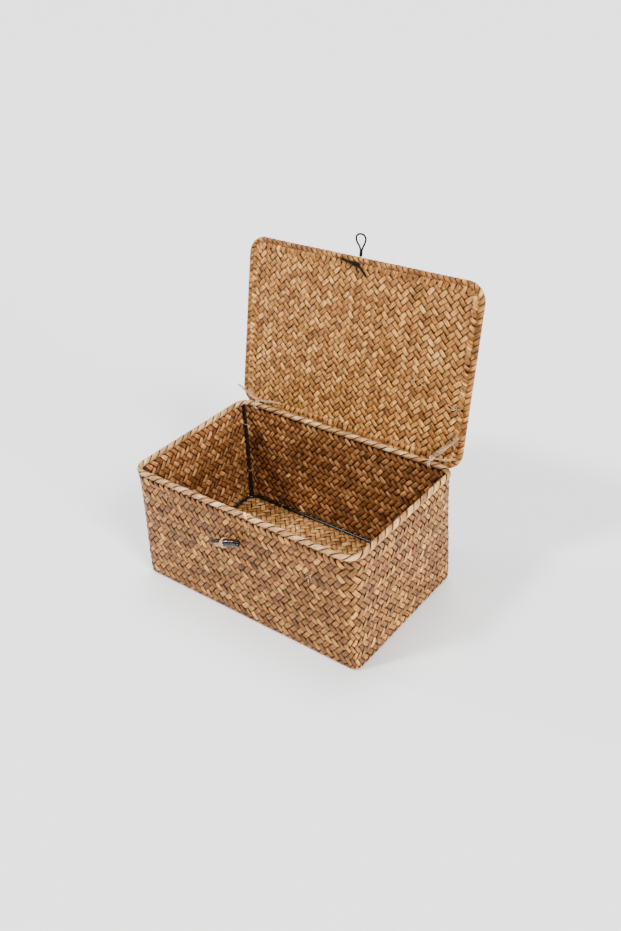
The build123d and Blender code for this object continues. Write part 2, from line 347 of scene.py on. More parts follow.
@dataclass
class Maker:
    """Collects closed tubes and strands into one mesh."""

    points: list = field(default_factory=list)
    faces: list = field(default_factory=list)
    place: list = field(default_factory=list)
    form: list = field(default_factory=list)
    inner: list = field(default_factory=list)
    count: int = 0

    def tube(
        self, rings: np.ndarray, place: np.ndarray, form: np.ndarray, closed: bool = False,
        inner: Optional[np.ndarray] = None,
    ) -> None:
        """Adds one tube.

        Args:
            rings: points of each cross-section, in millimetres, shaped (sections, sides, 3).
            place: along, across and seed for each point, in the same order.
            form: edge and lift masks, which place painted shade, and a random tone for each point.
            closed: whether the last section joins the first.
            inner: how far each point is on the face's inner side, from 0 to 1, for painted light.
        """
        sections, sides = rings.shape[:2]
        index = np.arange(sections * sides).reshape(sections, sides)
        after = np.roll(index, -1, axis=0) if closed else index[1:]
        before = index if closed else index[:-1]
        quads = np.stack([before, np.roll(before, -1, 1), np.roll(after, -1, 1), after], -1)
        quads = quads.reshape(-1, 4)
        corner = rings.reshape(-1, 3)[quads]
        middle = rings.reshape(-1, 3).mean(0)
        first, second, third, fourth = (corner[:, k] - middle for k in range(4))
        volume = np.einsum("ij,ij->", first, np.cross(second, third) + np.cross(third, fourth))
        if volume < 0:
            quads = quads[:, ::-1]
        made = [tuple(quad) for quad in (quads + self.count).tolist()]
        if not closed:
            head, tail = (index[0] + self.count).tolist(), (index[-1] + self.count).tolist()
            caps = [tuple(head[::-1]), tuple(tail)]
            made += caps if volume >= 0 else [cap[::-1] for cap in caps]
        self.faces += made
        self.points.append(rings.reshape(-1, 3))
        self.place.append(place.reshape(-1, 3))
        self.form.append(form.reshape(-1, 3))
        self.inner.append(np.zeros(sections * sides) if inner is None else inner.reshape(-1))
        self.count += sections * sides

    def strip(self, surface: Surface, strip: Strip) -> None:
        """Adds one flat strand lying on a surface."""
        wide, high = SECTION[None, :, 0], SECTION[None, :, 1]
        step = np.gradient(strip.line, axis=0)
        side = unit(np.stack([-step[:, 1], step[:, 0]], -1))
        across = wide * strip.half_width[:, None]
        shape = across.shape
        u = strip.line[:, 0, None] + across * side[:, 0, None]
        v = strip.line[:, 1, None] + across * side[:, 1, None]
        h = strip.lift[:, None] + (high + strip.tilt * wide) * strip.half_thick[:, None]
        along = np.broadcast_to(walked_along(strip.line)[:, None], shape)
        place = np.stack([along, across, np.full(shape, strip.seed)], -1)
        edge = np.broadcast_to(np.abs(wide), shape)
        shade = np.broadcast_to(strip.shade[:, None], shape)
        chance = strip.chance
        if chance is None:
            chance = np.full(len(strip.line), strip.seed)
        form = np.stack([edge, shade, np.broadcast_to(chance[:, None], shape)], -1)
        inner = np.broadcast_to(0.5 - 0.5 * np.sign(high), shape)
        self.tube(surface.place(u, v, h), place, form, inner=inner)

    def thread(
        self, path: np.ndarray, radius: "float | np.ndarray", seed: float, sides: int = 8,
        closed: bool = False,
    ) -> None:
        """Adds one round thread along a path of points."""
        frames = carried_frames(path, closed)
        angle = np.arange(sides) / sides * 2 * math.pi
        ring = around(angle[None, :], frames[:, 1, None], frames[:, 2, None])
        radius = np.broadcast_to(np.asarray(radius, float), (len(path),))
        rings = path[:, None] + ring * radius[:, None, None]
        shape = rings.shape[:2]
        along = np.broadcast_to(walked_along(path)[:, None], shape)
        across = np.broadcast_to((angle * radius.mean())[None], shape)
        seeds = np.full(shape, seed)
        form = np.stack([np.zeros(shape), np.ones(shape), seeds], -1)
        self.tube(rings, np.stack([along, across, seeds], -1), form, closed)

    def rope(
        self, path: np.ndarray, radius: float, plies: int, lay: float, seed: float,
        taper: float = 1.0,
    ) -> None:
        """Adds twisted plies round a path.

        Args:
            path: points of the middle line.
            radius: outside radius of the rope.
            plies: how many threads are twisted together.
            lay: length of one full twist.
            seed: tells this rope's colours from others.
            taper: thickness of the last end against the first.
        """
        path = resampled(path, radius * 0.4)
        frames = carried_frames(path, False)
        walked = walked_along(path)
        size = np.linspace(1.0, taper, len(path))
        ply = radius * PLY_SHARE[plies]
        for number in range(plies):
            turn = 2 * math.pi * (walked / lay + number / plies)
            away = (radius - ply) * size[:, None]
            middle = path + away * around(turn, frames[:, 1], frames[:, 2])
            self.thread(middle, ply * size, seed + 0.13 * number)

    def piece(
        self, name: str, finish: bpy.types.Material, body: Body, slot: Slot, *stands_for: str
    ) -> bpy.types.Object:
        """Makes the object, dresses it, puts it on its body, and hides the CAD nodes that it
        replaces.

        Args:
            name: the piece's name.
            finish: its material.
            body: what it rides on.
            slot: the record's material slot, not used.
            stands_for: CAD nodes that it replaces.

        Returns:
            The new object.
        """
        mesh = bpy.data.meshes.new(name)
        points = np.concatenate(self.points) * MM
        mesh.from_pydata(points.tolist(), [], self.faces)
        for label, values, scale in (
            ("strand_place", self.place, (MM, MM, 1.0)),
            ("strand_form", self.form, (1, 1, 1)),
        ):
            layer = mesh.attributes.new(label, "FLOAT_VECTOR", "POINT")
            vectors = np.concatenate(values) * np.array(scale)
            layer.data.foreach_set("vector", vectors.ravel().astype(np.float32))
        inner = mesh.attributes.new("strand_inner", "FLOAT", "POINT")
        inner.data.foreach_set("value", np.concatenate(self.inner).astype(np.float32))
        mesh.materials.append(finish)
        mesh.shade_smooth()
        thing = bpy.data.objects.new(name, mesh)
        bpy.context.scene.collection.objects.link(thing)
        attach(thing, body.value)
        if stands_for:
            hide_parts(*stands_for)
        LOG.info("%s: %d faces on %s", name, len(self.faces), body.value)
        return thing


def resampled(path: np.ndarray, step: float) -> np.ndarray:
    """Evenly spaced points along a path, about step apart."""
    walked = walked_along(path)
    wanted = np.linspace(0, walked[-1], max(4, int(walked[-1] / step) + 1))
    return np.stack([np.interp(wanted, walked, path[:, k]) for k in range(3)], -1)


def carried_frames(path: np.ndarray, closed: bool) -> np.ndarray:
    """Forward and two side directions along a path, turned as little as possible.

    Args:
        path: points of the line.
        closed: whether it joins up, so that the frames must too.

    Returns:
        An array shaped (points, 3, 3).
    """
    if closed:
        ahead = unit(np.roll(path, -1, 0) - np.roll(path, 1, 0))
    else:
        ahead = unit(np.gradient(path, axis=0))
    start = np.cross(ahead[0], (0.0, 0.0, 1.0) if abs(ahead[0][2]) < 0.9 else (1.0, 0.0, 0.0))
    side = start / np.linalg.norm(start)
    frames = np.zeros((len(path), 3, 3))
    for number, forward in enumerate(ahead):
        side = side - forward * np.dot(side, forward)
        side = side / np.linalg.norm(side)
        frames[number] = forward, side, np.cross(forward, side)
    if closed:
        last = frames[-1, 1] - frames[0, 0] * np.dot(frames[-1, 1], frames[0, 0])
        slip = math.atan2(np.dot(last, frames[0, 2]), np.dot(last, frames[0, 1]))
        back = -slip * np.arange(len(path)) / len(path)
        one, two = frames[:, 1].copy(), frames[:, 2].copy()
        frames[:, 1] = around(back, one, two)
        frames[:, 2] = around(back, two, -one)
    return frames


def smooth_route(points: np.ndarray) -> np.ndarray:
    """Points along the NURBS spline that has these control points, in millimetres."""
    curve = bpy.data.curves.new("route", "CURVE")
    curve.dimensions = "3D"
    spline = curve.splines.new("NURBS")
    spline.points.add(len(points) - 1)
    for spot, (x, y, z) in zip(spline.points, points * MM):
        spot.co = (x, y, z, 1.0)
    spline.order_u = 3
    spline.use_endpoint_u = True
    spline.resolution_u = 16
    thing = bpy.data.objects.new("route", curve)
    bpy.context.scene.collection.objects.link(thing)
    mesh = bpy.data.meshes.new_from_object(thing)
    found = np.array([vertex.co[:] for vertex in mesh.vertices]) / MM
    bpy.data.objects.remove(thing)
    bpy.data.curves.remove(curve)
    bpy.data.meshes.remove(mesh)
    return found


# ---------------------------------------------------------------- finishes


def new_material(name: str) -> tuple[bpy.types.Material, "Sheet", bpy.types.Node]:
    """Makes a material and gives it, its sheet and its shader."""
    material = bpy.data.materials.new(name)
    material.use_nodes = True
    tree = material.node_tree
    return material, Sheet(tree), tree.nodes["Principled BSDF"]


def opaque(colour: Sequence[float]) -> tuple[float, ...]:
    """A colour with full alpha, as sockets want it."""
    return (*colour, 1.0)


@dataclass
class Sheet:
    """Places and joins nodes in one tree with few words."""

    tree: bpy.types.NodeTree

    def node(self, kind: str, **settings: object) -> bpy.types.Node:
        """Adds a node and sets its properties."""
        made = self.tree.nodes.new(kind)
        for name, value in settings.items():
            setattr(made, name, value)
        return made

    def join(self, source: object, target: bpy.types.NodeSocket) -> None:
        """Joins a socket to another, or sets a plain value on it."""
        if isinstance(source, bpy.types.NodeSocket):
            self.tree.links.new(source, target)
        else:
            target.default_value = source

    def calc(
        self, operation: str, *values: object, clamp: bool = False
    ) -> bpy.types.NodeSocket:
        """Adds a Math node on sockets or numbers."""
        made = self.node("ShaderNodeMath", operation=operation, use_clamp=clamp)
        for value, target in zip(values, made.inputs):
            self.join(value, target)
        return made.outputs[0]

    def times(self, one: object, two: object, clamp: bool = False) -> bpy.types.NodeSocket:
        """Multiplies two values."""
        return self.calc("MULTIPLY", one, two, clamp=clamp)

    def plus(self, one: object, two: object, clamp: bool = False) -> bpy.types.NodeSocket:
        """Adds two values."""
        return self.calc("ADD", one, two, clamp=clamp)

    def minus(self, one: object, two: object) -> bpy.types.NodeSocket:
        """Takes the second value from the first."""
        return self.calc("SUBTRACT", one, two)

    def vector(self, x: object, y: object, z: object) -> bpy.types.NodeSocket:
        """Puts three values into a vector."""
        made = self.node("ShaderNodeCombineXYZ")
        for value, target in zip((x, y, z), made.inputs):
            self.join(value, target)
        return made.outputs[0]

    def split(self, vector: bpy.types.NodeSocket) -> Sequence[bpy.types.NodeSocket]:
        """Takes a vector's three values apart."""
        made = self.node("ShaderNodeSeparateXYZ")
        self.join(vector, made.inputs[0])
        return made.outputs

    def attribute(self, name: str, output: str = "Vector") -> bpy.types.NodeSocket:
        """Reads one of the mesh's own attributes."""
        return self.node("ShaderNodeAttribute", attribute_name=name).outputs[output]

    def here(self) -> bpy.types.NodeSocket:
        """The place on the object, in metres."""
        return self.node("ShaderNodeTexCoord").outputs["Object"]

    def noise(
        self, place: object, scale: float, detail: float, rough: float = 0.5
    ) -> bpy.types.NodeSocket:
        """Adds a noise and gives its value."""
        made = self.node("ShaderNodeTexNoise")
        self.join(place, made.inputs["Vector"])
        made.inputs["Scale"].default_value = scale
        made.inputs["Detail"].default_value = detail
        made.inputs["Roughness"].default_value = rough
        return made.outputs["Fac"]

    def range(
        self, value: object, low: float, high: float, to_low: float, to_high: float
    ) -> bpy.types.NodeSocket:
        """Maps a value from one range to another, smoothly and clamped."""
        made = self.node("ShaderNodeMapRange", interpolation_type="SMOOTHSTEP")
        for source, target in zip((value, low, high, to_low, to_high), made.inputs):
            self.join(source, target)
        return made.outputs[0]

    def mix(
        self, factor: object, one: object, two: object, blend: str = "MIX"
    ) -> bpy.types.NodeSocket:
        """Mixes two colours."""
        made = self.node("ShaderNodeMix", data_type="RGBA", blend_type=blend)
        self.join(factor, made.inputs[0])
        self.join(one, made.inputs[6])
        self.join(two, made.inputs[7])
        return made.outputs[2]

    def bump(
        self, height: object, strength: float, depth: float, shader: bpy.types.Node
    ) -> None:
        """Bumps a shader's normal by a height, over a depth in metres."""
        made = self.node("ShaderNodeBump")
        made.inputs["Strength"].default_value = strength
        made.inputs["Distance"].default_value = depth
        self.join(height, made.inputs["Height"])
        self.join(made.outputs[0], shader.inputs["Normal"])


class FibreGroup:
    """The shared effect of dry plant fibre: mottled colour, lengthwise grain, and painted shade.

    Strand edges are darker with painted shade and dust, dips under other strands with painted
    shade and dirt, and inner faces take a painted tint for the light inside the box.

    Its scales count repeats per metre along and across a strand.
    """

    # The inner tint is painted light and shade for the inside of the box, on strands' inner faces.
    colours: ClassVar[dict[str, tuple[float, float, float]]] = {
        "Dark": (0.2, 0.1, 0.04), "Middle": (0.45, 0.26, 0.12), "Light": (0.65, 0.44, 0.24),
        "Odd": (0.3, 0.24, 0.1), "Inner Light Tint": (1.0, 1.0, 1.0),
    }
    # The edge and dip darkness numbers set painted shade: with dust at strand edges, with dirt at
    # dips.
    numbers: ClassVar[dict[str, float]] = {
        "Strand Variation": 0.6, "Mottle Scale": 60.0, "Grain Fineness": 2400.0,
        "Grain Depth": 0.35, "Edge Shade And Dust": 0.5, "Dip Shade And Dirt": 0.4, "Roughness Low": 0.45,
        "Roughness High": 0.75,
    }
    seed_spread: ClassVar[float] = 731.0
    strand_chance: ClassVar[float] = 0.4
    mottle_across: ClassVar[float] = 60.0
    mottle_height: ClassVar[float] = 0.6
    grain_along: ClassVar[float] = 110.0
    odd_along: ClassVar[float] = 22.0
    odd_shift: ClassVar[float] = 57.0
    odd_most: ClassVar[float] = 0.65

    def __init__(self) -> None:
        """Builds the node group once."""
        self.tree = bpy.data.node_groups.new("Plant fibre", "ShaderNodeTree")
        self.open_sockets()
        self.sheet = Sheet(self.tree)
        self.given = self.sheet.node("NodeGroupInput").outputs
        along, across, seed = self.sheet.split(self.given["Place"])
        edge, lift, chance = self.sheet.split(self.given["Form"])
        shift = self.sheet.times(seed, self.seed_spread)
        mottle = self.mottle(along, across, shift)
        grain = self.grain(along, across, shift)
        colour = self.colour(mottle, along, shift, chance)
        self.give(colour, self.shade(grain, edge, lift), grain, mottle)

    def open_sockets(self) -> None:
        """Names what the group takes and what it gives."""
        def add(name: str, way: str, kind: str) -> bpy.types.NodeTreeInterfaceSocket:
            """Adds one socket."""
            return self.tree.interface.new_socket(
                name, in_out=way, socket_type=f"NodeSocket{kind}")

        add("Place", "INPUT", "Vector")
        add("Form", "INPUT", "Vector")
        add("Inner", "INPUT", "Float").default_value = 0.0
        for name, colour in self.colours.items():
            add(name, "INPUT", "Color").default_value = opaque(colour)
        for name, number in self.numbers.items():
            add(name, "INPUT", "Float").default_value = number
        for name, kind in (("Color", "Color"), ("Roughness", "Float"), ("Height", "Float")):
            add(name, "OUTPUT", kind)

    def mottle(self, along: object, across: object, shift: object) -> bpy.types.NodeSocket:
        """Soft patches along a strand."""
        sheet = self.sheet
        at = sheet.vector(sheet.times(along, self.given["Mottle Scale"]),
                          sheet.times(across, self.mottle_across), shift)
        return sheet.range(sheet.noise(at, 1.0, 2.0), 0.3, 0.7, 0.0, 1.0)

    def grain(self, along: object, across: object, shift: object) -> bpy.types.NodeSocket:
        """Fine lines along a strand."""
        sheet = self.sheet
        at = sheet.vector(sheet.times(along, self.grain_along),
                          sheet.times(across, self.given["Grain Fineness"]), shift)
        return sheet.range(sheet.noise(at, 1.0, 3.0, 0.6), 0.28, 0.72, 0.0, 1.0)

    def colour(
        self, mottle: object, along: object, shift: object, chance: object
    ) -> bpy.types.NodeSocket:
        """Each strand's tone, with patches, odd stretches and the inner side's painted light tint.
        """
        sheet, given = self.sheet, self.given
        strand = sheet.node("ShaderNodeTexWhiteNoise", noise_dimensions="1D")
        sheet.join(shift, strand.inputs["W"])
        both = sheet.plus(sheet.times(strand.outputs["Value"], self.strand_chance),
                          sheet.times(chance, 1 - self.strand_chance))
        share = given["Strand Variation"]
        tone = sheet.plus(sheet.times(both, share),
                          sheet.times(mottle, sheet.minus(1.0, share)), clamp=True)
        low = sheet.mix(sheet.times(tone, 2.0, clamp=True), given["Dark"], given["Middle"])
        high = sheet.times(sheet.minus(tone, 0.5), 2.0, clamp=True)
        colour = sheet.mix(high, low, given["Light"])
        odd_at = sheet.vector(sheet.times(along, self.odd_along), 4.0,
                              sheet.plus(shift, self.odd_shift))
        odd = sheet.range(sheet.noise(odd_at, 1.0, 1.0), 0.52, 0.72, 0.0, self.odd_most)
        colour = sheet.mix(odd, colour, given["Odd"])
        # Painted light and shade: the inner faces of strands take the inner tint.
        tinted = sheet.mix(1.0, colour, given["Inner Light Tint"], "MULTIPLY")
        return sheet.mix(given["Inner"], colour, tinted)

    def shade(self, grain: object, edge: object, lift: object) -> bpy.types.NodeSocket:
        """Darker grain lines; painted shade and dust at edges, shade and dirt at dips."""
        sheet, given = self.sheet, self.given
        streak = sheet.plus(1.0, sheet.times(sheet.minus(grain, 0.5), given["Grain Depth"]))
        # Painted shade: with dust along strand edges, and with dirt where a strand dives under
        # another.
        near_edge = sheet.range(edge, 0.7, 1.0, 0.0, 1.0)
        under = sheet.range(lift, 0.0, 0.8, 1.0, 0.0)
        rim = sheet.minus(1.0, sheet.times(near_edge, given["Edge Shade And Dust"]))
        dip = sheet.minus(1.0, sheet.times(under, given["Dip Shade And Dirt"]))
        return sheet.times(streak, sheet.times(rim, dip))

    def give(self, colour: object, shade: object, grain: object, mottle: object) -> None:
        """Joins the colour, roughness and height to the group's outputs."""
        sheet, given = self.sheet, self.given
        outputs = sheet.node("NodeGroupOutput").inputs
        shaded = sheet.node("ShaderNodeVectorMath", operation="SCALE")
        sheet.join(colour, shaded.inputs[0])
        sheet.join(shade, shaded.inputs["Scale"])
        sheet.join(shaded.outputs[0], outputs["Color"])
        spread = sheet.minus(given["Roughness High"], given["Roughness Low"])
        gloss = sheet.plus(given["Roughness Low"], sheet.times(grain, spread))
        sheet.join(gloss, outputs["Roughness"])
        sheet.join(sheet.plus(grain, sheet.times(mottle, self.mottle_height)),
                   outputs["Height"])


@dataclass(frozen=True)
class FibreFinish:
    """A finish of plant fibre or cord, made with the shared fibre group.

    mottle and fineness count repeats per metre, rough holds the lowest and highest roughness,
    and depth is the bump's, in metres. edge and dip set painted shade, with dust at strand edges
    and dirt at dips, and inner is a painted light tint for strands' inner faces.
    """

    name: str
    dark: tuple[float, float, float]
    middle: tuple[float, float, float]
    light: tuple[float, float, float]
    odd: tuple[float, float, float]
    variation: float = 0.55
    mottle: float = 60.0
    fineness: float = 2400.0
    grain: float = 0.4
    edge: float = 0.5
    dip: float = 0.45
    rough: tuple[float, float] = (0.45, 0.75)
    bump: float = 0.5
    depth: float = 0.00025
    sheen: float = 0.0
    specular: float = 0.45
    inner: tuple[float, float, float] = (1.0, 1.0, 1.0)

    def make(self, fibre: FibreGroup) -> bpy.types.Material:
        """Builds the material round the shared group."""
        material, sheet, shader = new_material(self.name)
        group = sheet.node("ShaderNodeGroup", node_tree=fibre.tree)
        taken, given = group.inputs, group.outputs
        sheet.join(sheet.attribute("strand_place"), taken["Place"])
        sheet.join(sheet.attribute("strand_form"), taken["Form"])
        sheet.join(sheet.attribute("strand_inner", "Fac"), taken["Inner"])
        for name, colour in (
            ("Dark", self.dark), ("Middle", self.middle), ("Light", self.light),
            ("Odd", self.odd), ("Inner Light Tint", self.inner),
        ):
            taken[name].default_value = opaque(colour)
        for name, number in (
            ("Strand Variation", self.variation), ("Mottle Scale", self.mottle),
            ("Grain Fineness", self.fineness), ("Grain Depth", self.grain),
            ("Edge Shade And Dust", self.edge), ("Dip Shade And Dirt", self.dip),
            ("Roughness Low", self.rough[0]), ("Roughness High", self.rough[1]),
        ):
            taken[name].default_value = number
        sheet.join(given["Color"], shader.inputs["Base Color"])
        sheet.join(given["Roughness"], shader.inputs["Roughness"])
        sheet.bump(given["Height"], self.bump, self.depth, shader)
        shader.inputs["Specular IOR Level"].default_value = self.specular
        shader.inputs["Sheen Weight"].default_value = self.sheen
        return material


@dataclass(frozen=True)
class PaintFinish:
    """Semi-gloss black paint on wire, a little uneven and rubbed."""

    name: str = "Black painted wire"
    colour: tuple[float, float, float] = (0.006, 0.006, 0.0065)
    worn: tuple[float, float, float] = (0.03, 0.026, 0.022)

    def make(self) -> bpy.types.Material:
        """Builds the material."""
        material, sheet, shader = new_material(self.name)
        place = sheet.here()
        patches = sheet.range(sheet.noise(place, 260.0, 4.0, 0.6), 0.5, 0.72, 0.0, 1.0)
        colour = sheet.mix(patches, opaque(self.colour), opaque(self.worn))
        sheet.join(colour, shader.inputs["Base Color"])
        fine = sheet.noise(place, 1400.0, 3.0, 0.6)
        sheet.join(sheet.range(fine, 0.3, 0.7, 0.24, 0.32), shader.inputs["Roughness"])
        sheet.bump(sheet.noise(place, 240.0, 2.0), 0.05, 0.0001, shader)
        shader.inputs["Specular IOR Level"].default_value = 0.3
        return material


@dataclass(frozen=True)
class StitchFinish:
    """Thin brown thread on the frame, for pieces that carry no strand attributes."""

    name: str = "Stitching thread"
    dark: tuple[float, float, float] = (0.12, 0.06, 0.028)
    light: tuple[float, float, float] = (0.42, 0.27, 0.16)

    def make(self) -> bpy.types.Material:
        """Builds the material."""
        material, sheet, shader = new_material(self.name)
        fibres = sheet.noise(sheet.here(), 1800.0, 3.0, 0.65)
        blend = sheet.range(fibres, 0.35, 0.65, 0.0, 1.0)
        colour = sheet.mix(blend, opaque(self.dark), opaque(self.light))
        sheet.join(colour, shader.inputs["Base Color"])
        sheet.join(sheet.range(fibres, 0.3, 0.7, 0.9, 0.7), shader.inputs["Roughness"])
        sheet.bump(fibres, 0.6, 0.0002, shader)
        shader.inputs["Specular IOR Level"].default_value = 0.2
        return material


@dataclass(frozen=True)
class HornFinish:
    """Polished dark horn, browner and paler at its slim end."""

    name: str = "Polished horn"
    dark: tuple[float, float, float] = (0.006, 0.003, 0.0025)
    brown: tuple[float, float, float] = (0.03, 0.012, 0.007)
    pale: tuple[float, float, float] = (0.035, 0.016, 0.009)

    def make(self) -> bpy.types.Material:
        """Builds the material; the strand_form attribute runs 0 to 1 from the slim end."""
        material, sheet, shader = new_material(self.name)
        run = sheet.split(sheet.attribute("strand_form"))[0]
        place = sheet.split(sheet.attribute("strand_place"))
        at = sheet.vector(sheet.times(place[0], 90.0), sheet.times(place[1], 900.0), 3.0)
        streak = sheet.noise(at, 1.0, 4.0, 0.6)
        ragged = sheet.plus(run, sheet.times(sheet.minus(streak, 0.5), 0.5))
        tip = sheet.range(ragged, 0.0, 0.3, 1.0, 0.0)
        browner = sheet.range(streak, 0.45, 0.75, 0.0, 1.0)
        body = sheet.mix(browner, opaque(self.dark), opaque(self.brown))
        sheet.join(sheet.mix(tip, body, opaque(self.pale)), shader.inputs["Base Color"])
        sheet.join(sheet.range(streak, 0.3, 0.7, 0.1, 0.24), shader.inputs["Roughness"])
        sheet.bump(streak, 0.12, 0.0003, shader)
        shader.inputs["Specular IOR Level"].default_value = 0.15
        shader.inputs["Coat Weight"].default_value = 0.3
        shader.inputs["Coat Roughness"].default_value = 0.1
        return material


@dataclass(frozen=True)
class FloorFinish:
    """The pale studio floor."""

    name: str = "Pale studio floor"
    colour: tuple[float, float, float] = (0.93, 0.93, 0.925)

    def make(self) -> bpy.types.Material:
        """Builds the material."""
        material, sheet, shader = new_material(self.name)
        soft = sheet.noise(sheet.here(), 3.0, 2.0)
        dimmer = tuple(0.985 * channel for channel in self.colour)
        colour = sheet.mix(soft, opaque(self.colour), opaque(dimmer))
        sheet.join(colour, shader.inputs["Base Color"])
        shader.inputs["Roughness"].default_value = 0.75
        shader.inputs["Specular IOR Level"].default_value = 0.2
        return material


# Every fibre finish's edge and dip paint shade, with dust at strand edges and dirt at dips; the
# wall strands' inner tint is painted light for the inside of the box.
SEAGRASS = FibreFinish(
    "Seagrass strands", dark=(0.036, 0.0098, 0.0016), middle=(0.215, 0.08, 0.014),
    light=(0.64, 0.31, 0.075), odd=(0.18, 0.066, 0.013), variation=0.68, mottle=85.0,
    fineness=800.0, grain=0.95, edge=0.8, dip=0.8, rough=(0.3, 0.55), inner=(1.12, 1.14, 1.75),
    depth=0.0004, specular=0.22,
)
LID_SEAGRASS = replace(
    SEAGRASS, name="Lid seagrass strands", dark=(0.08, 0.024, 0.0045),
    middle=(0.37, 0.148, 0.03), light=(0.78, 0.41, 0.125), odd=(0.27, 0.104, 0.026),
    variation=0.62, inner=(1.0, 1.0, 1.0),
)
# The floor's strands are a brighter copy of the seagrass: painted light against the shade inside
# the box.
FLOOR_LIT_SEAGRASS = replace(
    SEAGRASS, name="Floor seagrass strands with painted light", dark=(0.17, 0.062, 0.015),
    middle=(0.49, 0.228, 0.068), light=(0.8, 0.48, 0.18), variation=0.45, edge=0.55, dip=0.6,
    inner=(1.0, 1.0, 1.0),
)
BORDER = FibreFinish(
    "Border straw", dark=(0.14, 0.05, 0.015), middle=(0.42, 0.21, 0.072),
    light=(0.8, 0.54, 0.25), odd=(0.34, 0.15, 0.05), variation=0.55, mottle=60.0,
    fineness=600.0, grain=0.8, edge=0.92, dip=0.5, rough=(0.3, 0.5), depth=0.0004,
    specular=0.35,
)
# A dark sheet's colour: painted shade seen through the gaps between strands.
SHADOW = FibreFinish(
    "Painted shade behind strands", dark=(0.03, 0.01, 0.003), middle=(0.05, 0.018, 0.006),
    light=(0.07, 0.028, 0.01), odd=(0.03, 0.013, 0.006), rough=(0.8, 0.95), specular=0.1,
)
TWINE = FibreFinish(
    "Jute twine", dark=(0.2, 0.1, 0.045), middle=(0.5, 0.31, 0.17), light=(0.82, 0.6, 0.39),
    odd=(0.36, 0.18, 0.1), variation=0.35, mottle=300.0, fineness=6000.0, grain=0.7, edge=0.0,
    dip=0.0, rough=(0.7, 0.9), bump=0.7, depth=0.0002, sheen=0.04, specular=0.15,
)
CORD = FibreFinish(
    "Waxed black cord", dark=(0.002, 0.0018, 0.0016), middle=(0.004, 0.0035, 0.003),
    light=(0.009, 0.008, 0.007), odd=(0.006, 0.0045, 0.004), fineness=5000.0, edge=0.0,
    dip=0.0, rough=(0.55, 0.75), bump=0.5, depth=0.0001, specular=0.1,
)


@dataclass(frozen=True)
class Finishes:
    """Every material, made once."""

    seagrass: bpy.types.Material
    lid_seagrass: bpy.types.Material
    floor_lit_seagrass: bpy.types.Material
    border: bpy.types.Material
    shadow: bpy.types.Material
    twine: bpy.types.Material
    cord: bpy.types.Material
    paint: bpy.types.Material
    horn: bpy.types.Material
    stitch: bpy.types.Material

    @staticmethod
    def make() -> "Finishes":
        """Builds them all."""
        fibre = FibreGroup()
        kinds = (SEAGRASS, LID_SEAGRASS, FLOOR_LIT_SEAGRASS, BORDER, SHADOW, TWINE, CORD)
        made = (finish.make(fibre) for finish in kinds)
        return Finishes(*made, PaintFinish().make(), HornFinish().make(), StitchFinish().make())


# ---------------------------------------------------------------- the frame's sizes


def corners(node: str) -> tuple[np.ndarray, np.ndarray]:
    """A CAD node's lowest and highest corners, in millimetres."""
    low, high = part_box(node)
    return np.array(low[:]) / MM, np.array(high[:]) / MM


def joint_place(name: str) -> np.ndarray:
    """Where a joint's axis is, in millimetres."""
    rows = frame["record"]["behaviour"]["joints"]
    return next(np.array(row["pos_m"]) / MM for row in rows if row["name"] == name)


def joint_limit(name: str) -> float:
    """A joint's upper limit, in degrees."""
    rows = frame["record"]["behaviour"]["joints"]
    return next(row["range_deg"][1] for row in rows if row["name"] == name)


@dataclass(frozen=True)
class Sizes:
    """The places that pieces share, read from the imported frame."""

    roll_radius: float = 3.5
    roll_gap: float = 0.3
    lid_corner: float = 18.5
    rim_corner: float = 16.5
    wall_corner: float = 16.75
    half_wall: float = 1.75

    @property
    def hinge(self) -> np.ndarray:
        """The middle of the back rim roll, which the lid turns round."""
        return joint_place("lid_hinge")

    @property
    def lean(self) -> float:
        """How far the open lid leans past the vertical, in radians."""
        return math.radians(joint_limit("lid_hinge") - 90.0)

    @property
    def lid(self) -> Flat:
        """The lid's plane: its origin is the middle of the lid roll at the hinge."""
        out = (0.0, math.sin(self.lean), math.cos(self.lean))
        face = (0.0, -math.cos(self.lean), math.sin(self.lean))
        start = self.hinge - np.array(face) * (2 * self.roll_radius + self.roll_gap)
        return Flat(tuple(start), (1.0, 0.0, 0.0), out, face)

    @property
    def lid_reach(self) -> float:
        """From the middle of the lid roll at the hinge to the middle of the front one."""
        high = corners("lid_border")[1][2]
        return (high - self.roll_radius - self.lid.origin[2]) / math.cos(self.lean)

    @property
    def lid_ring(self) -> Ring:
        """The middle line of the lid roll."""
        half_x = corners("lid_border")[1][0] - self.roll_radius
        return Ring(half_x, self.lid_reach / 2, self.lid_corner)

    @property
    def rim_ring(self) -> Ring:
        """The middle line of the rim roll."""
        high = corners("rim_border")[1]
        return Ring(high[0] - self.roll_radius, high[1] - self.roll_radius, self.rim_corner)

    @property
    def rim_height(self) -> float:
        """The middle of the rim roll."""
        return corners("rim_border")[1][2] - self.roll_radius

    @property
    def wall_ring(self) -> Ring:
        """The middle of the walls, seen from above."""
        high = corners("woven_body")[1]
        return Ring(high[0] - self.half_wall, high[1] - self.half_wall, self.wall_corner)


# ---------------------------------------------------------------- plaited faces


def wander(steps: np.ndarray, rng: np.random.Generator, reach: float, length: float) -> np.ndarray:
    """A smooth random drift along a strand.

    Args:
        steps: distances along it.
        rng: the source of chance.
        reach: how far it drifts.
        length: the rough length of one swing.

    Returns:
        The drift at each distance.
    """
    total = np.zeros_like(steps, dtype=float)
    for scale in (1.0, 1.7, 2.9):
        phase = rng.uniform(0, 2 * math.pi)
        total += np.sin(2 * math.pi * steps * scale / length + phase) / scale
    return reach * total / 1.9


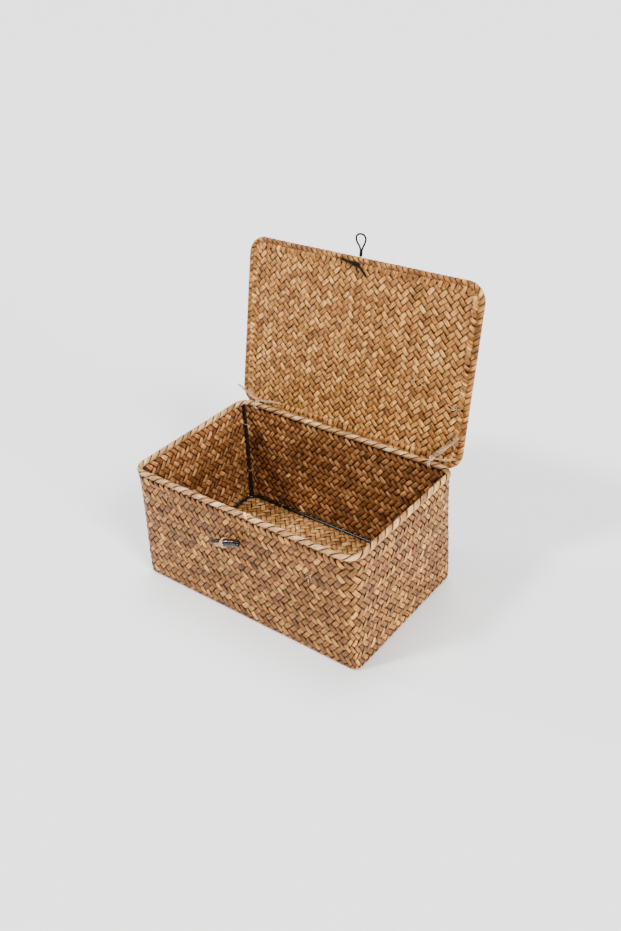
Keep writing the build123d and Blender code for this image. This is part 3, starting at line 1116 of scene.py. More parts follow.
@dataclass(frozen=True)
class Plait:
    """A two-over-two plait of two crossing sets of flat strands.

    column and row are the steps between crossings across and up the face. rising and falling
    are the widths of the two sets against their spacing. lift is how far a strand swings to
    each side, drift how far it wanders sideways, and tilt the most that it leans. tones is how
    many random tones are drawn for a strand, and first_tone the one at its crossing zero.
    """

    column: float
    row: float
    twill: Twill
    rising: float = 0.92
    falling: float = 0.88
    lift: float = 0.85
    half_thick: float = 0.62
    samples: int = 4
    drift: float = 0.42
    tilt: float = 0.55
    tones: int = 600
    first_tone: int = 150

    @property
    def pitch(self) -> float:
        """The distance between neighbouring strands of one set."""
        return 2 * self.column * self.row / math.hypot(self.column, self.row)

    def count(self, column: np.ndarray, row: np.ndarray) -> np.ndarray:
        """The count of crossings that the twill goes by."""
        return column if self.twill is Twill.COLUMNS else row

    def over(self, column: np.ndarray, row: np.ndarray) -> np.ndarray:
        """Whether the rising set is on top at crossings."""
        return np.mod(self.count(column, row), 4) < 2

    def column_at(self, rising: bool, number: int, row: np.ndarray) -> np.ndarray:
        """Which column a strand has come to at each row."""
        return row - 2 * number if rising else 2 * number - row

    def level(self, rising: bool, number: int, row: np.ndarray) -> np.ndarray:
        """How far up out of the plait a strand is at each row, from about -1 to 1."""
        low = np.floor(row)
        heights = []
        for at in (low, low + 1):
            top = self.over(self.column_at(rising, number, at), at)
            heights.append(np.where(top == rising, 1.0, -1.0))
        blend = eased(row - low)
        stepped = heights[0] * (1 - blend) + heights[1] * blend
        count = self.count(self.column_at(rising, number, row), row)
        arch = np.cos(math.pi / 2 * (count - 0.5)) * (1.0 if rising else -1.0)
        return 0.6 * stepped + 0.62 * arch

    def strand(
        self, rising: bool, number: int, rows: tuple[float, float], rng: np.random.Generator,
        keep: Callable[[np.ndarray], np.ndarray],
        narrow: Optional[Callable[[np.ndarray], np.ndarray]] = None,
        raised: Optional[Callable[[np.ndarray, bool], np.ndarray]] = None,
    ) -> Optional[Strip]:
        """Makes one strand.

        Args:
            rising: whether it leans to the right as it rises.
            number: which strand of its set.
            rows: the first and last crossing rows that it spans.
            rng: the source of chance.
            keep: which points of the face are inside the work.
            narrow: how wide the strand is, against its width, at points of the face.
            raised: how far the strand is pushed outward at points of the face.

        Returns:
            The strand, or None where too little of it is inside.
        """
        row = np.linspace(rows[0], rows[1], int((rows[1] - rows[0]) * self.samples) + 1)
        column = self.column_at(rising, number, row)
        level = self.level(rising, number, row)
        tones = rng.uniform(0, 1, self.tones)
        float_number = np.floor(self.count(column, row) / 2 + 0.25 + self.first_tone)
        tone = tones[float_number.astype(int)]
        line = np.stack([column * self.column, row * self.row], -1)
        inside = keep(line)
        if inside.sum() < 4:
            return None
        first, last = np.flatnonzero(inside)[[0, -1]]
        cut = slice(first, last + 1)
        line, level, row, tone = line[cut], level[cut], row[cut], tone[cut]
        step = unit(np.gradient(line, axis=0))
        side = np.stack([-step[:, 1], step[:, 0]], -1)
        walked = (row - row[0]) * math.hypot(self.column, self.row)
        line = line + side * wander(walked, rng, self.drift, 38.0)[:, None]
        share = self.rising if rising else self.falling
        width = self.pitch / 2 * share * rng.uniform(0.9, 1.06)
        width = width * (1 + wander(walked, rng, 0.07, 21.0))
        swell = 0.94 + 0.06 * np.abs(level)
        if narrow is not None:
            swell = swell * narrow(line)
        lift = level * self.lift + wander(walked, rng, 0.16, 15.0)
        thick = np.full(len(row), self.half_thick) * rng.uniform(0.9, 1.1)
        if raised is not None:
            lift = lift + raised(line, rising)
        seed = float(rng.uniform())
        tilt = float(rng.uniform(-self.tilt, self.tilt))
        # shade is low where the strand passes through the plait; painted shade and dirt go there.
        shade = np.minimum(np.abs(level), 1)
        return Strip(line, lift, width * swell, thick, seed, shade, tone, tilt)


def slab(surface: Surface, outline: np.ndarray, half_thick: float) -> np.ndarray:
    """The rings of a thin closed sheet with a rounded outline, for Maker.tube."""
    return np.stack([
        surface.place(outline[:, 0], outline[:, 1], np.full(len(outline), h))
        for h in (-half_thick, half_thick)
    ])


@dataclass
class FlatPlait:
    """One flat plaited face inside a rounded outline."""

    name: str
    surface: Flat
    ring: Ring
    centre: tuple[float, float]
    plait: Plait
    body: Body
    node: str
    seed: int
    overlap: float
    finish: str = "seagrass"
    half_shade_sheet: float = 0.12

    def build(self, finishes: Finishes) -> None:
        """Plaits the face in two sets of strands over a thin dark sheet of painted shade."""
        rng = np.random.default_rng(self.seed)
        centre = np.array(self.centre)
        columns = int(self.ring.half_x / self.plait.column) + 2
        low = int((centre[1] - self.ring.half_y) / self.plait.row) - 2
        high = int((centre[1] + self.ring.half_y) / self.plait.row) + 2

        def keep(line: np.ndarray) -> np.ndarray:
            """Inside the outline."""
            return self.ring.inset(line - centre) > self.overlap

        dressing = getattr(finishes, self.finish)
        for rising in (True, False):
            maker = Maker()
            for number in range((low - columns) // 2, (high + columns) // 2 + 1):
                strip = self.plait.strand(rising, number, (low, high), rng, keep)
                if strip is not None:
                    maker.strip(self.surface, strip)
            name = f"{self.name}_{'rising' if rising else 'falling'}"
            maker.piece(name, dressing, self.body, Slot.SEAGRASS, self.node)
        # A thin dark sheet of painted shade, seen through the gaps between strands.
        middle = Maker()
        walked = np.linspace(0, self.ring.length, 160, endpoint=False)
        spot, out = self.ring.at(walked)
        outline = centre + spot - out * (self.overlap + 0.4)
        rings = slab(self.surface, outline, self.half_shade_sheet)
        blank = np.zeros(rings.shape)
        middle.tube(rings, blank, blank)
        middle.piece(f"{self.name}_middle", finishes.shadow, self.body, Slot.SEAGRASS, self.node)


@dataclass
class WallPlait:
    """The four walls, plaited in one go round the corners and turned under the floor.

    columns is how many strands of each set go round, and turn_under how far below the bend
    their ends run.
    """

    sizes: Sizes
    columns: int = 119
    row: float = 4.5
    turn_under: float = -6.0
    bend: float = 3.25
    half_shade_sheet: float = 0.12
    seed: int = 11
    side_names: tuple[str, ...] = ("front", "right", "back", "left")

    @property
    def surface(self) -> Wall:
        """The middle of the walls."""
        return Wall(self.sizes.wall_ring, self.sizes.half_wall, self.bend)

    def side_of(self, walked: float) -> str:
        """Which side's piece a strand belongs to, by where it starts."""
        ring = self.sizes.wall_ring
        share = np.mod(walked + ring.half_x, ring.length)
        bounds = np.cumsum([2 * ring.half_x, 2 * ring.half_y, 2 * ring.half_x])
        return self.side_names[int(np.searchsorted(bounds, share))]

    def build(self, finishes: Finishes) -> None:
        """Plaits the walls, one piece for each set of strands and each side."""
        ring = self.sizes.wall_ring
        step = ring.length / (2 * self.columns)
        plait = Plait(step, self.row, Twill.ROWS, rising=1.0, falling=0.95, lift=0.97)
        rng = np.random.default_rng(self.seed)
        top = self.sizes.rim_height

        def keep(line: np.ndarray) -> np.ndarray:
            """Between the turned-under edge and the middle of the rim roll."""
            return (line[:, 1] > self.turn_under) & (line[:, 1] < top + 0.5)

        def narrow(line: np.ndarray) -> np.ndarray:
            """Strands draw in where they meet the border."""
            return 1 - 0.36 * np.clip((line[:, 1] - (top - 9)) / 6, 0, 1)

        def raised(line: np.ndarray, rising: bool) -> np.ndarray:
            """Rising strands come up against the border; the others go in behind it."""
            near = eased(np.clip((line[:, 1] - (top - 8)) / 5.5, 0, 1))
            return near * (0.5 if rising else -0.6)

        rows = (math.floor(self.turn_under / self.row) - 1, math.ceil(top / self.row) + 1)
        for rising in (True, False):
            makers = {side: Maker() for side in self.side_names}
            for number in range(self.columns):
                strip = plait.strand(rising, number, rows, rng, keep, narrow, raised)
                makers[self.side_of(float(strip.line[0, 0]))].strip(self.surface, strip)
            way = "rising" if rising else "falling"
            for side, maker in makers.items():
                name = f"wall_{side}_{way}"
                maker.piece(name, finishes.seagrass, Body.BOX, Slot.SEAGRASS, "woven_body")
        self.build_shade_sheet(finishes, top)

    def build_shade_sheet(self, finishes: Finishes, top: float) -> None:
        """Adds the thin dark sheet of painted shade that shows only through gaps."""
        levels = np.concatenate([np.linspace(self.turn_under, 5.0, 9), [40.0, 90.0, top]])
        thin = self.half_shade_sheet
        profile = [(v, -thin) for v in levels] + [(v, thin) for v in levels[::-1]]
        walked = np.linspace(0, self.sizes.wall_ring.length, 220, endpoint=False)
        u, v = np.meshgrid(walked, [p[0] for p in profile], indexing="ij")
        h = np.broadcast_to(np.array([p[1] for p in profile])[None], u.shape)
        rings = self.surface.place(u, v, h)
        blank = np.zeros(rings.shape)
        middle = Maker()
        middle.tube(rings, blank, blank, closed=True)
        middle.piece("wall_shade_sheet", finishes.shadow, Body.BOX, Slot.SEAGRASS, "woven_body")


# ---------------------------------------------------------------- borders


@dataclass
class Border:
    """A roll of strands wound round a wire.

    way is which way it winds, lay the length of one turn, share the strands' width against
    their spacing, and finish a field of Finishes.
    """

    name: str
    ring: Ring
    face: Flat
    centre: tuple[float, float]
    body: Body
    node: str
    seed: int
    way: int
    lay: float = 32.3
    strands: int = 4
    radius: float = 3.5
    finish: str = "border"
    share: float = 0.94
    half_thick: float = 0.85

    def build(self, finishes: Finishes) -> None:
        """Winds the roll."""
        rng = np.random.default_rng(self.seed)
        surface = Roll(self.ring, self.face, self.centre, self.radius - self.half_thick)
        turns = round(self.ring.length / self.lay)
        lay = self.ring.length / turns
        girth = 2 * math.pi * surface.radius
        slant = math.atan2(girth, lay)
        spacing = girth / self.strands * math.cos(slant)
        maker = Maker()
        for number in range(self.strands):
            u = np.arange(0, self.ring.length + 1.0, 1.0)
            v = self.way * (u / lay + number / self.strands) * girth
            seeds = rng.uniform()
            width = spacing / 2 * self.share * (1 + wander(u, rng, 0.08, 30.0))
            lift = wander(u, rng, 0.16, 17.0) - 0.1
            thick = np.full(len(u), self.half_thick)
            line = np.stack([u, v], -1)
            tones = rng.uniform(0, 1, 400)
            tone = tones[np.floor(u / lay + number / self.strands + 0.25).astype(int)]
            maker.strip(surface, Strip(line, lift, width, thick, seeds, np.ones(len(u)), tone))
        maker.piece(self.name, getattr(finishes, self.finish), self.body, Slot.BORDER, self.node)


@dataclass
class RimSplice:
    """Where a strand of the rim roll runs out and the next one is laid in over it."""

    border: Border
    walked: float
    seed: int = 8

    def build(self, finishes: Finishes) -> None:
        """Lays two short overlapping ends on the roll."""
        rng = np.random.default_rng(self.seed)
        surface = Roll(self.border.ring, self.border.face, self.border.centre, self.border.radius)
        maker = Maker()
        part = np.linspace(0, 1, 12)
        for start, end in (((-6.0, 7.5), (3.5, 1.0)), ((-3.0, 2.0), (5.5, 6.5))):
            line = np.stack([self.walked + start[0] + (end[0] - start[0]) * part,
                             start[1] + (end[1] - start[1]) * part], -1)
            arch = np.sin(math.pi * part)
            lift = -0.5 + 1.0 * arch + 0.5 * part
            width = 1.5 * (0.6 + 0.4 * arch)
            plain = np.ones(len(part))
            strip = Strip(line, lift, width, 0.55 * plain, float(rng.uniform()), plain, plain)
            maker.strip(surface, strip)
        maker.piece("rim_splice", finishes.border, Body.BOX, Slot.BORDER, "rim_border")


@dataclass
class StrayFibres:
    """Loose thin fibres that have lifted from the strands of a flat face.

    Each place has two face coordinates and the length of its fibres.
    """

    name: str
    surface: Flat
    places: tuple[tuple[float, float, float], ...]
    body: Body
    node: str
    seed: int
    at_each: int = 6
    radius: float = 0.24

    def build(self, finishes: Finishes) -> None:
        """Lays each fibre in a shallow curl above the face."""
        rng = np.random.default_rng(self.seed)
        maker = Maker()
        part = np.linspace(0, 1, 12)
        for x, along, reach in self.places:
            for _ in range(self.at_each):
                way = rng.uniform(0, 2 * math.pi)
                curl = rng.uniform(-1.5, 1.5)
                angle = way + curl * part
                step = reach * rng.uniform(0.6, 1.0) / 11
                u = x + rng.uniform(-2, 2) + np.cumsum(np.cos(angle)) * step
                v = along + rng.uniform(-2, 2) + np.cumsum(np.sin(angle)) * step
                h = 1.3 + 1.6 * np.sin(math.pi * part) * rng.uniform(0.4, 1.0)
                path = self.surface.place(u, v, h)
                maker.thread(path, self.radius, rng.uniform(), sides=5)
        maker.piece(self.name, finishes.twine, self.body, Slot.SEAGRASS, self.node)


@dataclass
class TuckedEnds:
    """A row of short strand ends that dive into the plait beside a border.

    They run from outer to inner, both measured in from the ring, and rise to height.
    """

    name: str
    surface: Surface
    ring: Ring
    centre: tuple[float, float]
    body: Body
    node: str
    seed: int
    spacing: float
    inner: float
    outer: float
    slant: float
    height: float

    def build(self, finishes: Finishes) -> None:
        """Lays the ends on both faces."""
        rng = np.random.default_rng(self.seed)
        count = round(self.ring.length / self.spacing)
        maker = Maker()
        for side in (1.0, -1.0):
            for number in range(count):
                walked = (number + rng.uniform(-0.08, 0.08)) * self.ring.length / count
                part = np.linspace(0, 1, 9)
                depth = self.outer + (self.inner - self.outer) * part
                along = walked + self.slant * part * (self.inner - self.outer)
                spot, out = self.ring.at(along)
                line = np.array(self.centre) + spot - out * depth[:, None]
                arch = np.sin(math.pi * np.clip(part * 1.05, 0, 1)) ** 0.7
                lift = side * (self.height * (0.25 + 0.75 * arch) - 0.9 * part ** 4)
                width = np.full(9, 2.5 * rng.uniform(0.9, 1.1)) * (0.6 + 0.4 * arch)
                # shade is low at the ends, which painted shade and dirt darken where they dive in.
                shade = np.clip(arch * 1.3 - 0.2, 0, 1)
                seed = float(rng.uniform())
                maker.strip(self.surface, Strip(line, lift, width, np.full(9, 0.75), seed, shade))
        maker.piece(self.name, finishes.lid_seagrass, self.body, Slot.SEAGRASS, self.node)


# ---------------------------------------------------------------- twine and cord


def knot_path(
    size: tuple[float, float, float], turned: Matrix, middle: np.ndarray, thread: float
) -> np.ndarray:
    """A small overhand knot's closed line, sized to an oval lump.

    Args:
        size: the lump's length, width and depth.
        turned: the lump's directions as a 3 by 3 matrix.
        middle: its middle.
        thread: the thread's radius.

    Returns:
        The knot's points.
    """
    turn = np.linspace(0, 2 * math.pi, 90, endpoint=False)
    wound = np.stack([np.sin(turn) + 2 * np.sin(2 * turn), np.cos(turn) - 2 * np.cos(2 * turn),
                      -np.sin(3 * turn)], -1)
    wound = wound / np.abs(wound).max(0) * (np.array(size) / 2 - thread)
    return middle + wound @ np.array(turned).T


@dataclass
class HingeTie:
    """Two turns of twine round the rim roll and the lid roll, with a knot on the lid's side."""

    side: str
    sizes: Sizes
    seed: float
    radius: float = 0.9
    knot_size: tuple[float, float, float] = (7.0, 6.0, 4.8)
    @property
    def middle_x(self) -> float:
        """The middle of the two turns."""
        low, high = corners(f"hinge_tie_{self.side}")
        return float((low[0] + high[0]) / 2)

    def build(self, finishes: Finishes) -> None:
        """Winds the turns and ties the knot."""
        lid = self.sizes.lid
        far = 2 * self.sizes.roll_radius + self.sizes.roll_gap
        reach = self.sizes.roll_radius + self.sizes.roll_gap + self.radius
        maker = Maker()
        for turn in (-1.0, 1.0):
            steps = np.linspace(0, math.pi, 15)
            near = [(-reach * math.cos(a), -reach * math.sin(a)) for a in steps]
            away = [(reach * math.cos(a), far + reach * math.sin(a)) for a in steps]
            loop = np.array(near + away)
            x = self.middle_x + turn * (self.radius + 0.1)
            path = lid.place(np.full(len(loop), x), loop[:, 0], loop[:, 1])
            path = np.concatenate([path, path[:2]])
            maker.rope(path, self.radius, 2, 6.0, self.seed + 0.1 * turn)
        name, node = f"hinge_twine_{self.side}", f"hinge_tie_{self.side}"
        maker.piece(name, finishes.twine, Body.LID, Slot.TWINE, node)
        name, node = f"twine_knot_{self.side}", f"hinge_knot_{self.side}"
        low, high = corners(node)
        knot = Maker()
        path = knot_path(self.knot_size, lid.turned, (low + high) / 2, 1.0)
        knot.thread(path, 1.05, self.seed, closed=True)
        knot.piece(name, finishes.twine, Body.LID, Slot.TWINE, node)


@dataclass
class TwineEnd:
    """A free end of hinge twine, fraying at its tip.

    Its route has offsets from start_x across, along and out of the lid's plane. length is not
    used. fray counts the fibres at its tip, which spread by spread, and
    loose those that have come away along it.
    """

    node: str
    start_x: float
    route: tuple[tuple[float, float, float], ...]
    sizes: Sizes
    seed: int
    length: Optional[float] = None
    plies: int = 2
    radius: float = 1.1
    fray: int = 14
    fray_length: float = 7.0
    spread: float = 0.5
    loose: int = 10

    def build(self, finishes: Finishes) -> None:
        """Lays the twine along its route, with loose fibres round it and at its tip."""
        rng = np.random.default_rng(self.seed)
        points = np.array(self.route)
        lid = self.sizes.lid
        control = lid.place(points[:, 0] + self.start_x, points[:, 1], points[:, 2])
        path = smooth_route(control)
        maker = Maker()
        maker.rope(path, self.radius, self.plies, 6.5, rng.uniform())
        name = f"{self.node}_twine"
        twine = maker.piece(name, finishes.twine, Body.LID, Slot.TWINE, self.node)
        fibres = Maker()
        self.add_fray(fibres, path, rng)
        self.add_loose(fibres, path, rng)
        loose = fibres.piece(f"{self.node}_fibres", finishes.twine, Body.LID, Slot.TWINE)

    def add_fray(self, fibres: Maker, path: np.ndarray, rng: np.random.Generator) -> None:
        """Adds the fibres that spread from the tip."""
        ahead = unit(path[-1] - path[-4])
        steps = np.linspace(0, 1, 8)[:, None]
        for _ in range(self.fray):
            stray = unit(ahead + rng.normal(0, self.spread, 3) * 0.6)
            reach = self.fray_length * rng.uniform(0.5, 1.0)
            back = path[-1 - int(rng.integers(0, 6))]
            bent = stray + rng.normal(0, 0.25, 3)
            hair = back + ahead * reach * steps * 0.3 + stray * reach * steps * 0.7
            hair = hair + bent * steps ** 2 * reach * 0.2
            fibres.thread(hair, np.linspace(0.28, 0.12, 8), rng.uniform(), sides=5)

    def add_loose(self, fibres: Maker, path: np.ndarray, rng: np.random.Generator) -> None:
        """Adds the fibres that have come away from the twine and curl round it."""
        even = resampled(path, 1.2)
        frames = carried_frames(even, False)
        for _ in range(self.loose):
            begun = int(rng.integers(0, len(even) // 3))
            ended = int(rng.integers(len(even) * 2 // 3, len(even)))
            steps = np.linspace(0, 1, ended - begun)
            turn = rng.uniform(0, 2 * math.pi) + steps * rng.uniform(1, 4)
            away = self.radius + rng.uniform(0.0, self.spread * 1.6) * np.sin(math.pi * steps)
            one, two = frames[begun:ended, 1], frames[begun:ended, 2]
            hair = even[begun:ended] + away[:, None] * around(turn, one, two)
            fibres.thread(hair, 0.2, rng.uniform(), sides=5)


TWINE_ENDS = {
    "tie_end_left_up": (
        (0.0, 5.3, 4.1), (-6.5, 9.0, 8.4), (-12.0, 15.5, 13.0), (-16.7, 23.0, 19.0),
    ),
    "tie_end_left_side": (
        (0.0, 5.3, 4.1), (10.5, 6.6, 4.5), (21.5, 8.8, 3.9), (32.5, 9.6, 3.6),
    ),
    "tie_end_right_up": (
        (-0.5, 5.9, 4.4), (6.0, 13.5, 5.0), (15.5, 23.5, 3.7), (24.4, 32.5, 3.1),
    ),
    "tie_end_right_side": (
        (1.0, 4.9, 3.9), (9.0, 6.9, 4.2), (16.6, 7.6, 3.9), (23.6, 10.8, 4.4),
    ),
}
LOOP_ROUTE = (
    (0.4, 6.1, 0.85), (-0.9, 10.5, 0.75), (-6.2, 15.3, 0.2), (-8.2, 20.7, 0.0),
    (-4.8, 24.4, 0.0), (1.6, 24.6, 0.0), (5.4, 20.7, 0.0), (4.2, 15.1, -0.2),
    (1.5, 10.5, -0.75), (0.4, 6.1, -0.85),
)
CORD_ENDS = {
    "closure_end_left": (
        (-3.0, 0.0, 3.9), (-11.0, 0.6, 3.6), (-17.0, 2.1, 3.9), (-23.0, 2.7, 4.2),
    ),
    "closure_end_right": (
        (-0.6, 0.0, 3.9), (3.2, -3.0, 3.0), (6.8, -6.9, 2.75), (11.4, -11.3, 2.75),
    ),
}


@dataclass
class ClosureCord:
    """The black cord at the lid's front edge: its loop, whipping, knot and two ends.

    centre_x is where it leaves the edge, and knot_in how far in from the edge its knot sits.
    The loop and the ends have fluffed out to more than the cord's own radius.
    """

    sizes: Sizes
    radius: float = 0.8
    fluff: float = 0.35
    end_radius: float = 1.4
    loop_length: float = 48.4
    centre_x: float = 0.4
    knot_in: float = 8.2
    knot_size: tuple[float, float, float] = (11.0, 5.6, 4.6)
    whipping_turns: int = 7
    whipping_height: float = 6.6

    def edge(self) -> float:
        """How far the lid's front edge is along its plane."""
        return self.sizes.lid_reach + self.sizes.roll_radius

    def build_loop(self, finishes: Finishes) -> None:
        """Makes the loop, twisted from three plies."""
        points = np.array(LOOP_ROUTE)
        control = self.sizes.lid.place(points[:, 0], points[:, 1] + self.edge(), points[:, 2])
        path = smooth_route(control)
        maker = Maker()
        maker.rope(path, self.radius + self.fluff, 3, 4.6, 0.31)
        loop = maker.piece(
            "closure_loop_cord", finishes.cord, Body.LOOP, Slot.CORD, "closure_loop")

    def build_whipping(self, finishes: Finishes) -> None:
        """Winds the neck below the loop."""
        lid = self.sizes.lid
        height = self.whipping_height
        part = np.linspace(0, 1, 160)
        angle = 2 * math.pi * self.whipping_turns * part
        reach = 1.9 - 0.15 * part - 0.42
        along = self.edge() + 0.3 + 0.42 + (height - 0.84) * part
        x = self.centre_x + reach * np.cos(angle)
        maker = Maker()
        maker.thread(lid.place(x, along, reach * np.sin(angle)), 0.48, 0.4)
        inner = np.linspace(0.3, height + 0.3, 8) + self.edge()
        core = lid.place(np.full(8, self.centre_x), inner, np.zeros(8))
        maker.thread(core, 1.25, 0.5)
        maker.piece("cord_whipping", finishes.cord, Body.LOOP, Slot.CORD, "loop_whipping")

    def build_knot(self, finishes: Finishes) -> None:
        """Ties the knot on the lid's face and lays its ends."""
        lid = self.sizes.lid
        low, high = corners("closure_knot")
        knot = Maker()
        path = knot_path(self.knot_size, lid.turned, (low + high) / 2, 1.2)
        knot.thread(path, 1.2, 0.2, closed=True)
        knot.piece("cord_knot", finishes.cord, Body.LID, Slot.CORD, "closure_knot")
        for node, route in CORD_ENDS.items():
            points = np.array(route)
            along = points[:, 1] + self.edge() - self.knot_in
            path = smooth_route(lid.place(points[:, 0], along, points[:, 2]))
            maker = Maker()
            maker.rope(path, self.end_radius, 3, 4.8, 0.6, taper=0.85)
            maker.piece(f"{node}_cord", finishes.cord, Body.LID, Slot.CORD, node)


@dataclass
class Toggle:
    """The horn bar, its band of twine, and the twine that holds it through the wall.

    profile gives the bar's radius at shares of its length from the slim end.
    """

    tilt: float = math.radians(20.5)
    length: float = 45.0
    bow: float = 0.1
    seed: int = 5
    profile: tuple[tuple[float, float], ...] = (
        (0.0, 0.25), (0.012, 1.6), (0.05, 2.75), (0.15, 3.35), (0.3, 4.0), (0.42, 4.3),
        (0.55, 4.4), (0.75, 4.25), (0.9, 3.95), (0.965, 3.6), (0.99, 2.6), (1.0, 0.3),
    )
    sides: int = 28
    wrap_turns: int = 4
    wrap_width: float = 3.2
    tails: int = 6

    @property
    def centre(self) -> np.ndarray:
        """The middle of the bar, on the axis that it turns about."""
        return joint_place("toggle_swivel")

    @property
    def way(self) -> np.ndarray:
        """The direction from the slim end to the thick one."""
        return np.array([math.cos(self.tilt), 0.0, math.sin(self.tilt)])

    @property
    def up(self) -> np.ndarray:
        """The direction across the bar, along the wall."""
        return np.array([-math.sin(self.tilt), 0.0, math.cos(self.tilt)])

    @property
    def out(self) -> np.ndarray:
        """The direction away from the wall."""
        return np.array([0.0, -1.0, 0.0])

    def build(self, finishes: Finishes) -> None:
        """Turns the bar and winds the twine."""
        part = np.concatenate(
            [np.linspace(0, 0.06, 8), np.linspace(0.09, 0.93, 40), np.linspace(0.95, 1.0, 9)])
        radius = np.interp(part, *zip(*self.profile))
        angle = np.arange(self.sides) / self.sides * 2 * math.pi
        ring = around(angle, self.up, self.out)
        share = part[:, None]
        wave = (1 + 0.02 * np.sin(9 * share + 2 * angle[None])
                + 0.012 * np.sin(23 * share - angle[None]))
        middle = self.centre + (share - 0.5) * self.length * self.way
        middle = middle + self.bow * np.sin(math.pi * share) * self.up
        rings = middle[:, None] + ring[None] * (radius[:, None] * wave)[..., None]
        place = np.stack(np.broadcast_arrays(share * self.length, angle[None] * 4.0, 0.4), -1)
        form = np.stack(np.broadcast_arrays(share, np.ones(self.sides)[None], 0.0), -1)
        bar = Maker()
        bar.tube(rings, place, form)
        bar.piece("horn_toggle", finishes.horn, Body.TOGGLE, Slot.HORN, "toggle")
        self.build_wrap(finishes)
        self.build_stem(finishes)

    def build_wrap(self, finishes: Finishes) -> None:
        """Winds the band of twine round the bar's middle, with a knot and loose tails."""
        low, high = corners("toggle_wrap")
        middle = (low + high) / 2
        radius = 0.52
        part = np.linspace(0, 1, 180)
        turned = around(2 * math.pi * self.wrap_turns * part, self.up, self.out)
        reach = (high[1] - low[1]) / 2 - radius
        path = middle + (part - 0.5)[:, None] * self.wrap_width * self.way + reach * turned
        maker = Maker()
        maker.rope(path, radius, 2, 3.0, 0.7)
        directions = Matrix((self.way, self.up, self.out)).transposed()
        knot = knot_path((5.6, 5.4, 3.0), directions, middle + self.out * (reach + 0.5), 0.75)
        maker.thread(knot, 0.75, 0.5, closed=True)
        rng = np.random.default_rng(self.seed)
        steps = np.linspace(0, 1, 8)[:, None]
        for number in range(self.tails):
            start = middle + self.out * (reach + 0.3 - 0.12 * number)
            start = start + self.up * (2.6 - 0.8 * number)
            tail = -self.way * rng.uniform(9.0, 13.0) - self.up * rng.uniform(0.2, 1.8)
            path = start + tail * steps - self.out * steps ** 2 * 0.5
            maker.thread(path, np.linspace(0.75, 0.35, 8), rng.uniform(), sides=6)
        maker.piece("toggle_twine", finishes.twine, Body.TOGGLE, Slot.TWINE, "toggle_wrap")

    def build_stem(self, finishes: Finishes) -> None:
        """Runs the twine through the wall to a knot inside."""
        low, high = corners("toggle_tie")
        x, _, z = self.centre
        maker = Maker()
        maker.rope(np.linspace((x, low[1], z), (x, high[1] - 1.5, z), 12), 1.1, 2, 4.5, 0.2)
        inner = np.array([x, high[1] - 2.2, z])
        turned = Matrix(((1, 0, 0), (0, 0, 1), (0, 1, 0)))
        maker.thread(knot_path((6.0, 6.0, 4.4), turned, inner, 0.95), 0.95, 0.3, closed=True)
        maker.piece("toggle_stem_twine", finishes.twine, Body.BOX, Slot.TWINE, "toggle_tie")


# ---------------------------------------------------------------- studio


@dataclass(frozen=True)
class Studio:
    """The camera, lights and pale floor.

    sky is the world's light on the box and seen_sky what the camera sees of it, so that the
    floor runs into it without an edge.
    """

    eye: tuple[float, float, float] = (564.6, -667.2, 710.2)
    azimuth: float = math.radians(38.802)
    elevation: float = math.radians(32.616)
    roll: float = math.radians(-3.222)
    lens: float = 36.132
    sky: float = 0.36
    seen_sky: float = 2.6
    half_floor: float = 90.0
    lamps: tuple[tuple[str, tuple[float, float, float], float, float], ...] = (
        ("key", (1.25, -0.42, 1.12), 3.0, 16.0),
        ("right", (1.0, -0.2, 0.12), 4.4, 12.0),
        ("front", (-0.75, -1.0, 1.35), 2.9, 10.0),
        ("side", (-0.912, -0.194, 0.355), 1.5, 7.0),
        ("top", (-0.2, 0.4, 1.6), 3.0, 30.0),
    )

    def build_camera(self) -> None:
        """Sets the camera at the viewing angle."""
        level = math.cos(self.elevation)
        back = Vector((math.sin(self.azimuth) * level, -math.cos(self.azimuth) * level,
                       math.sin(self.elevation)))
        right = (-back).cross(Vector((0, 0, 1))).normalized()
        up = right.cross(-back).normalized()
        side = right * math.cos(self.roll) + up * math.sin(self.roll)
        top = up * math.cos(self.roll) - right * math.sin(self.roll)
        data = bpy.data.cameras.new("camera")
        data.lens = self.lens
        data.sensor_width = 36.0
        data.clip_start = 0.01
        camera = bpy.data.objects.new("camera", data)
        turned = Matrix((side, top, back)).transposed().to_4x4()
        camera.matrix_world = Matrix.Translation(Vector(self.eye) * MM) @ turned
        bpy.context.scene.collection.objects.link(camera)
        bpy.context.scene.camera = camera

    def lamp(
        self, name: str, way: tuple[float, float, float], strength: float, softness: float
    ) -> None:
        """Adds a distant soft light that comes from a direction.

        Args:
            name: the light's name.
            way: the direction towards the light.
            strength: its power on a face turned to it.
            softness: how wide it looks from the box, in degrees.
        """
        data = bpy.data.lights.new(name, "SUN")
        data.energy = strength
        data.angle = math.radians(softness)
        thing = bpy.data.objects.new(name, data)
        thing.rotation_euler = (-Vector(way)).to_track_quat("-Z", "Y").to_euler()
        bpy.context.scene.collection.objects.link(thing)

    def build_light(self) -> None:
        """Lights the scene and lays the floor."""
        for lamp in self.lamps:
            self.lamp(*lamp)
        world = bpy.data.worlds.new("studio")
        world.use_nodes = True
        sky = Sheet(world.node_tree)
        seen = sky.node("ShaderNodeLightPath").outputs["Is Camera Ray"]
        background = world.node_tree.nodes["Background"]
        background.inputs[0].default_value = opaque((1.0, 1.0, 1.0))
        strength = sky.calc("MULTIPLY_ADD", seen, self.seen_sky - self.sky, self.sky)
        sky.join(strength, background.inputs[1])
        bpy.context.scene.world = world
        half = self.half_floor
        mesh = bpy.data.meshes.new("floor")
        edge = [(-half, -half, 0), (half, -half, 0), (half, half, 0), (-half, half, 0)]
        mesh.from_pydata(edge, [], [(0, 1, 2, 3)])
        mesh.materials.append(FloorFinish().make())
        floor = bpy.data.objects.new("floor", mesh)
        bpy.context.scene.collection.objects.link(floor)


# ---------------------------------------------------------------- sub-assemblies

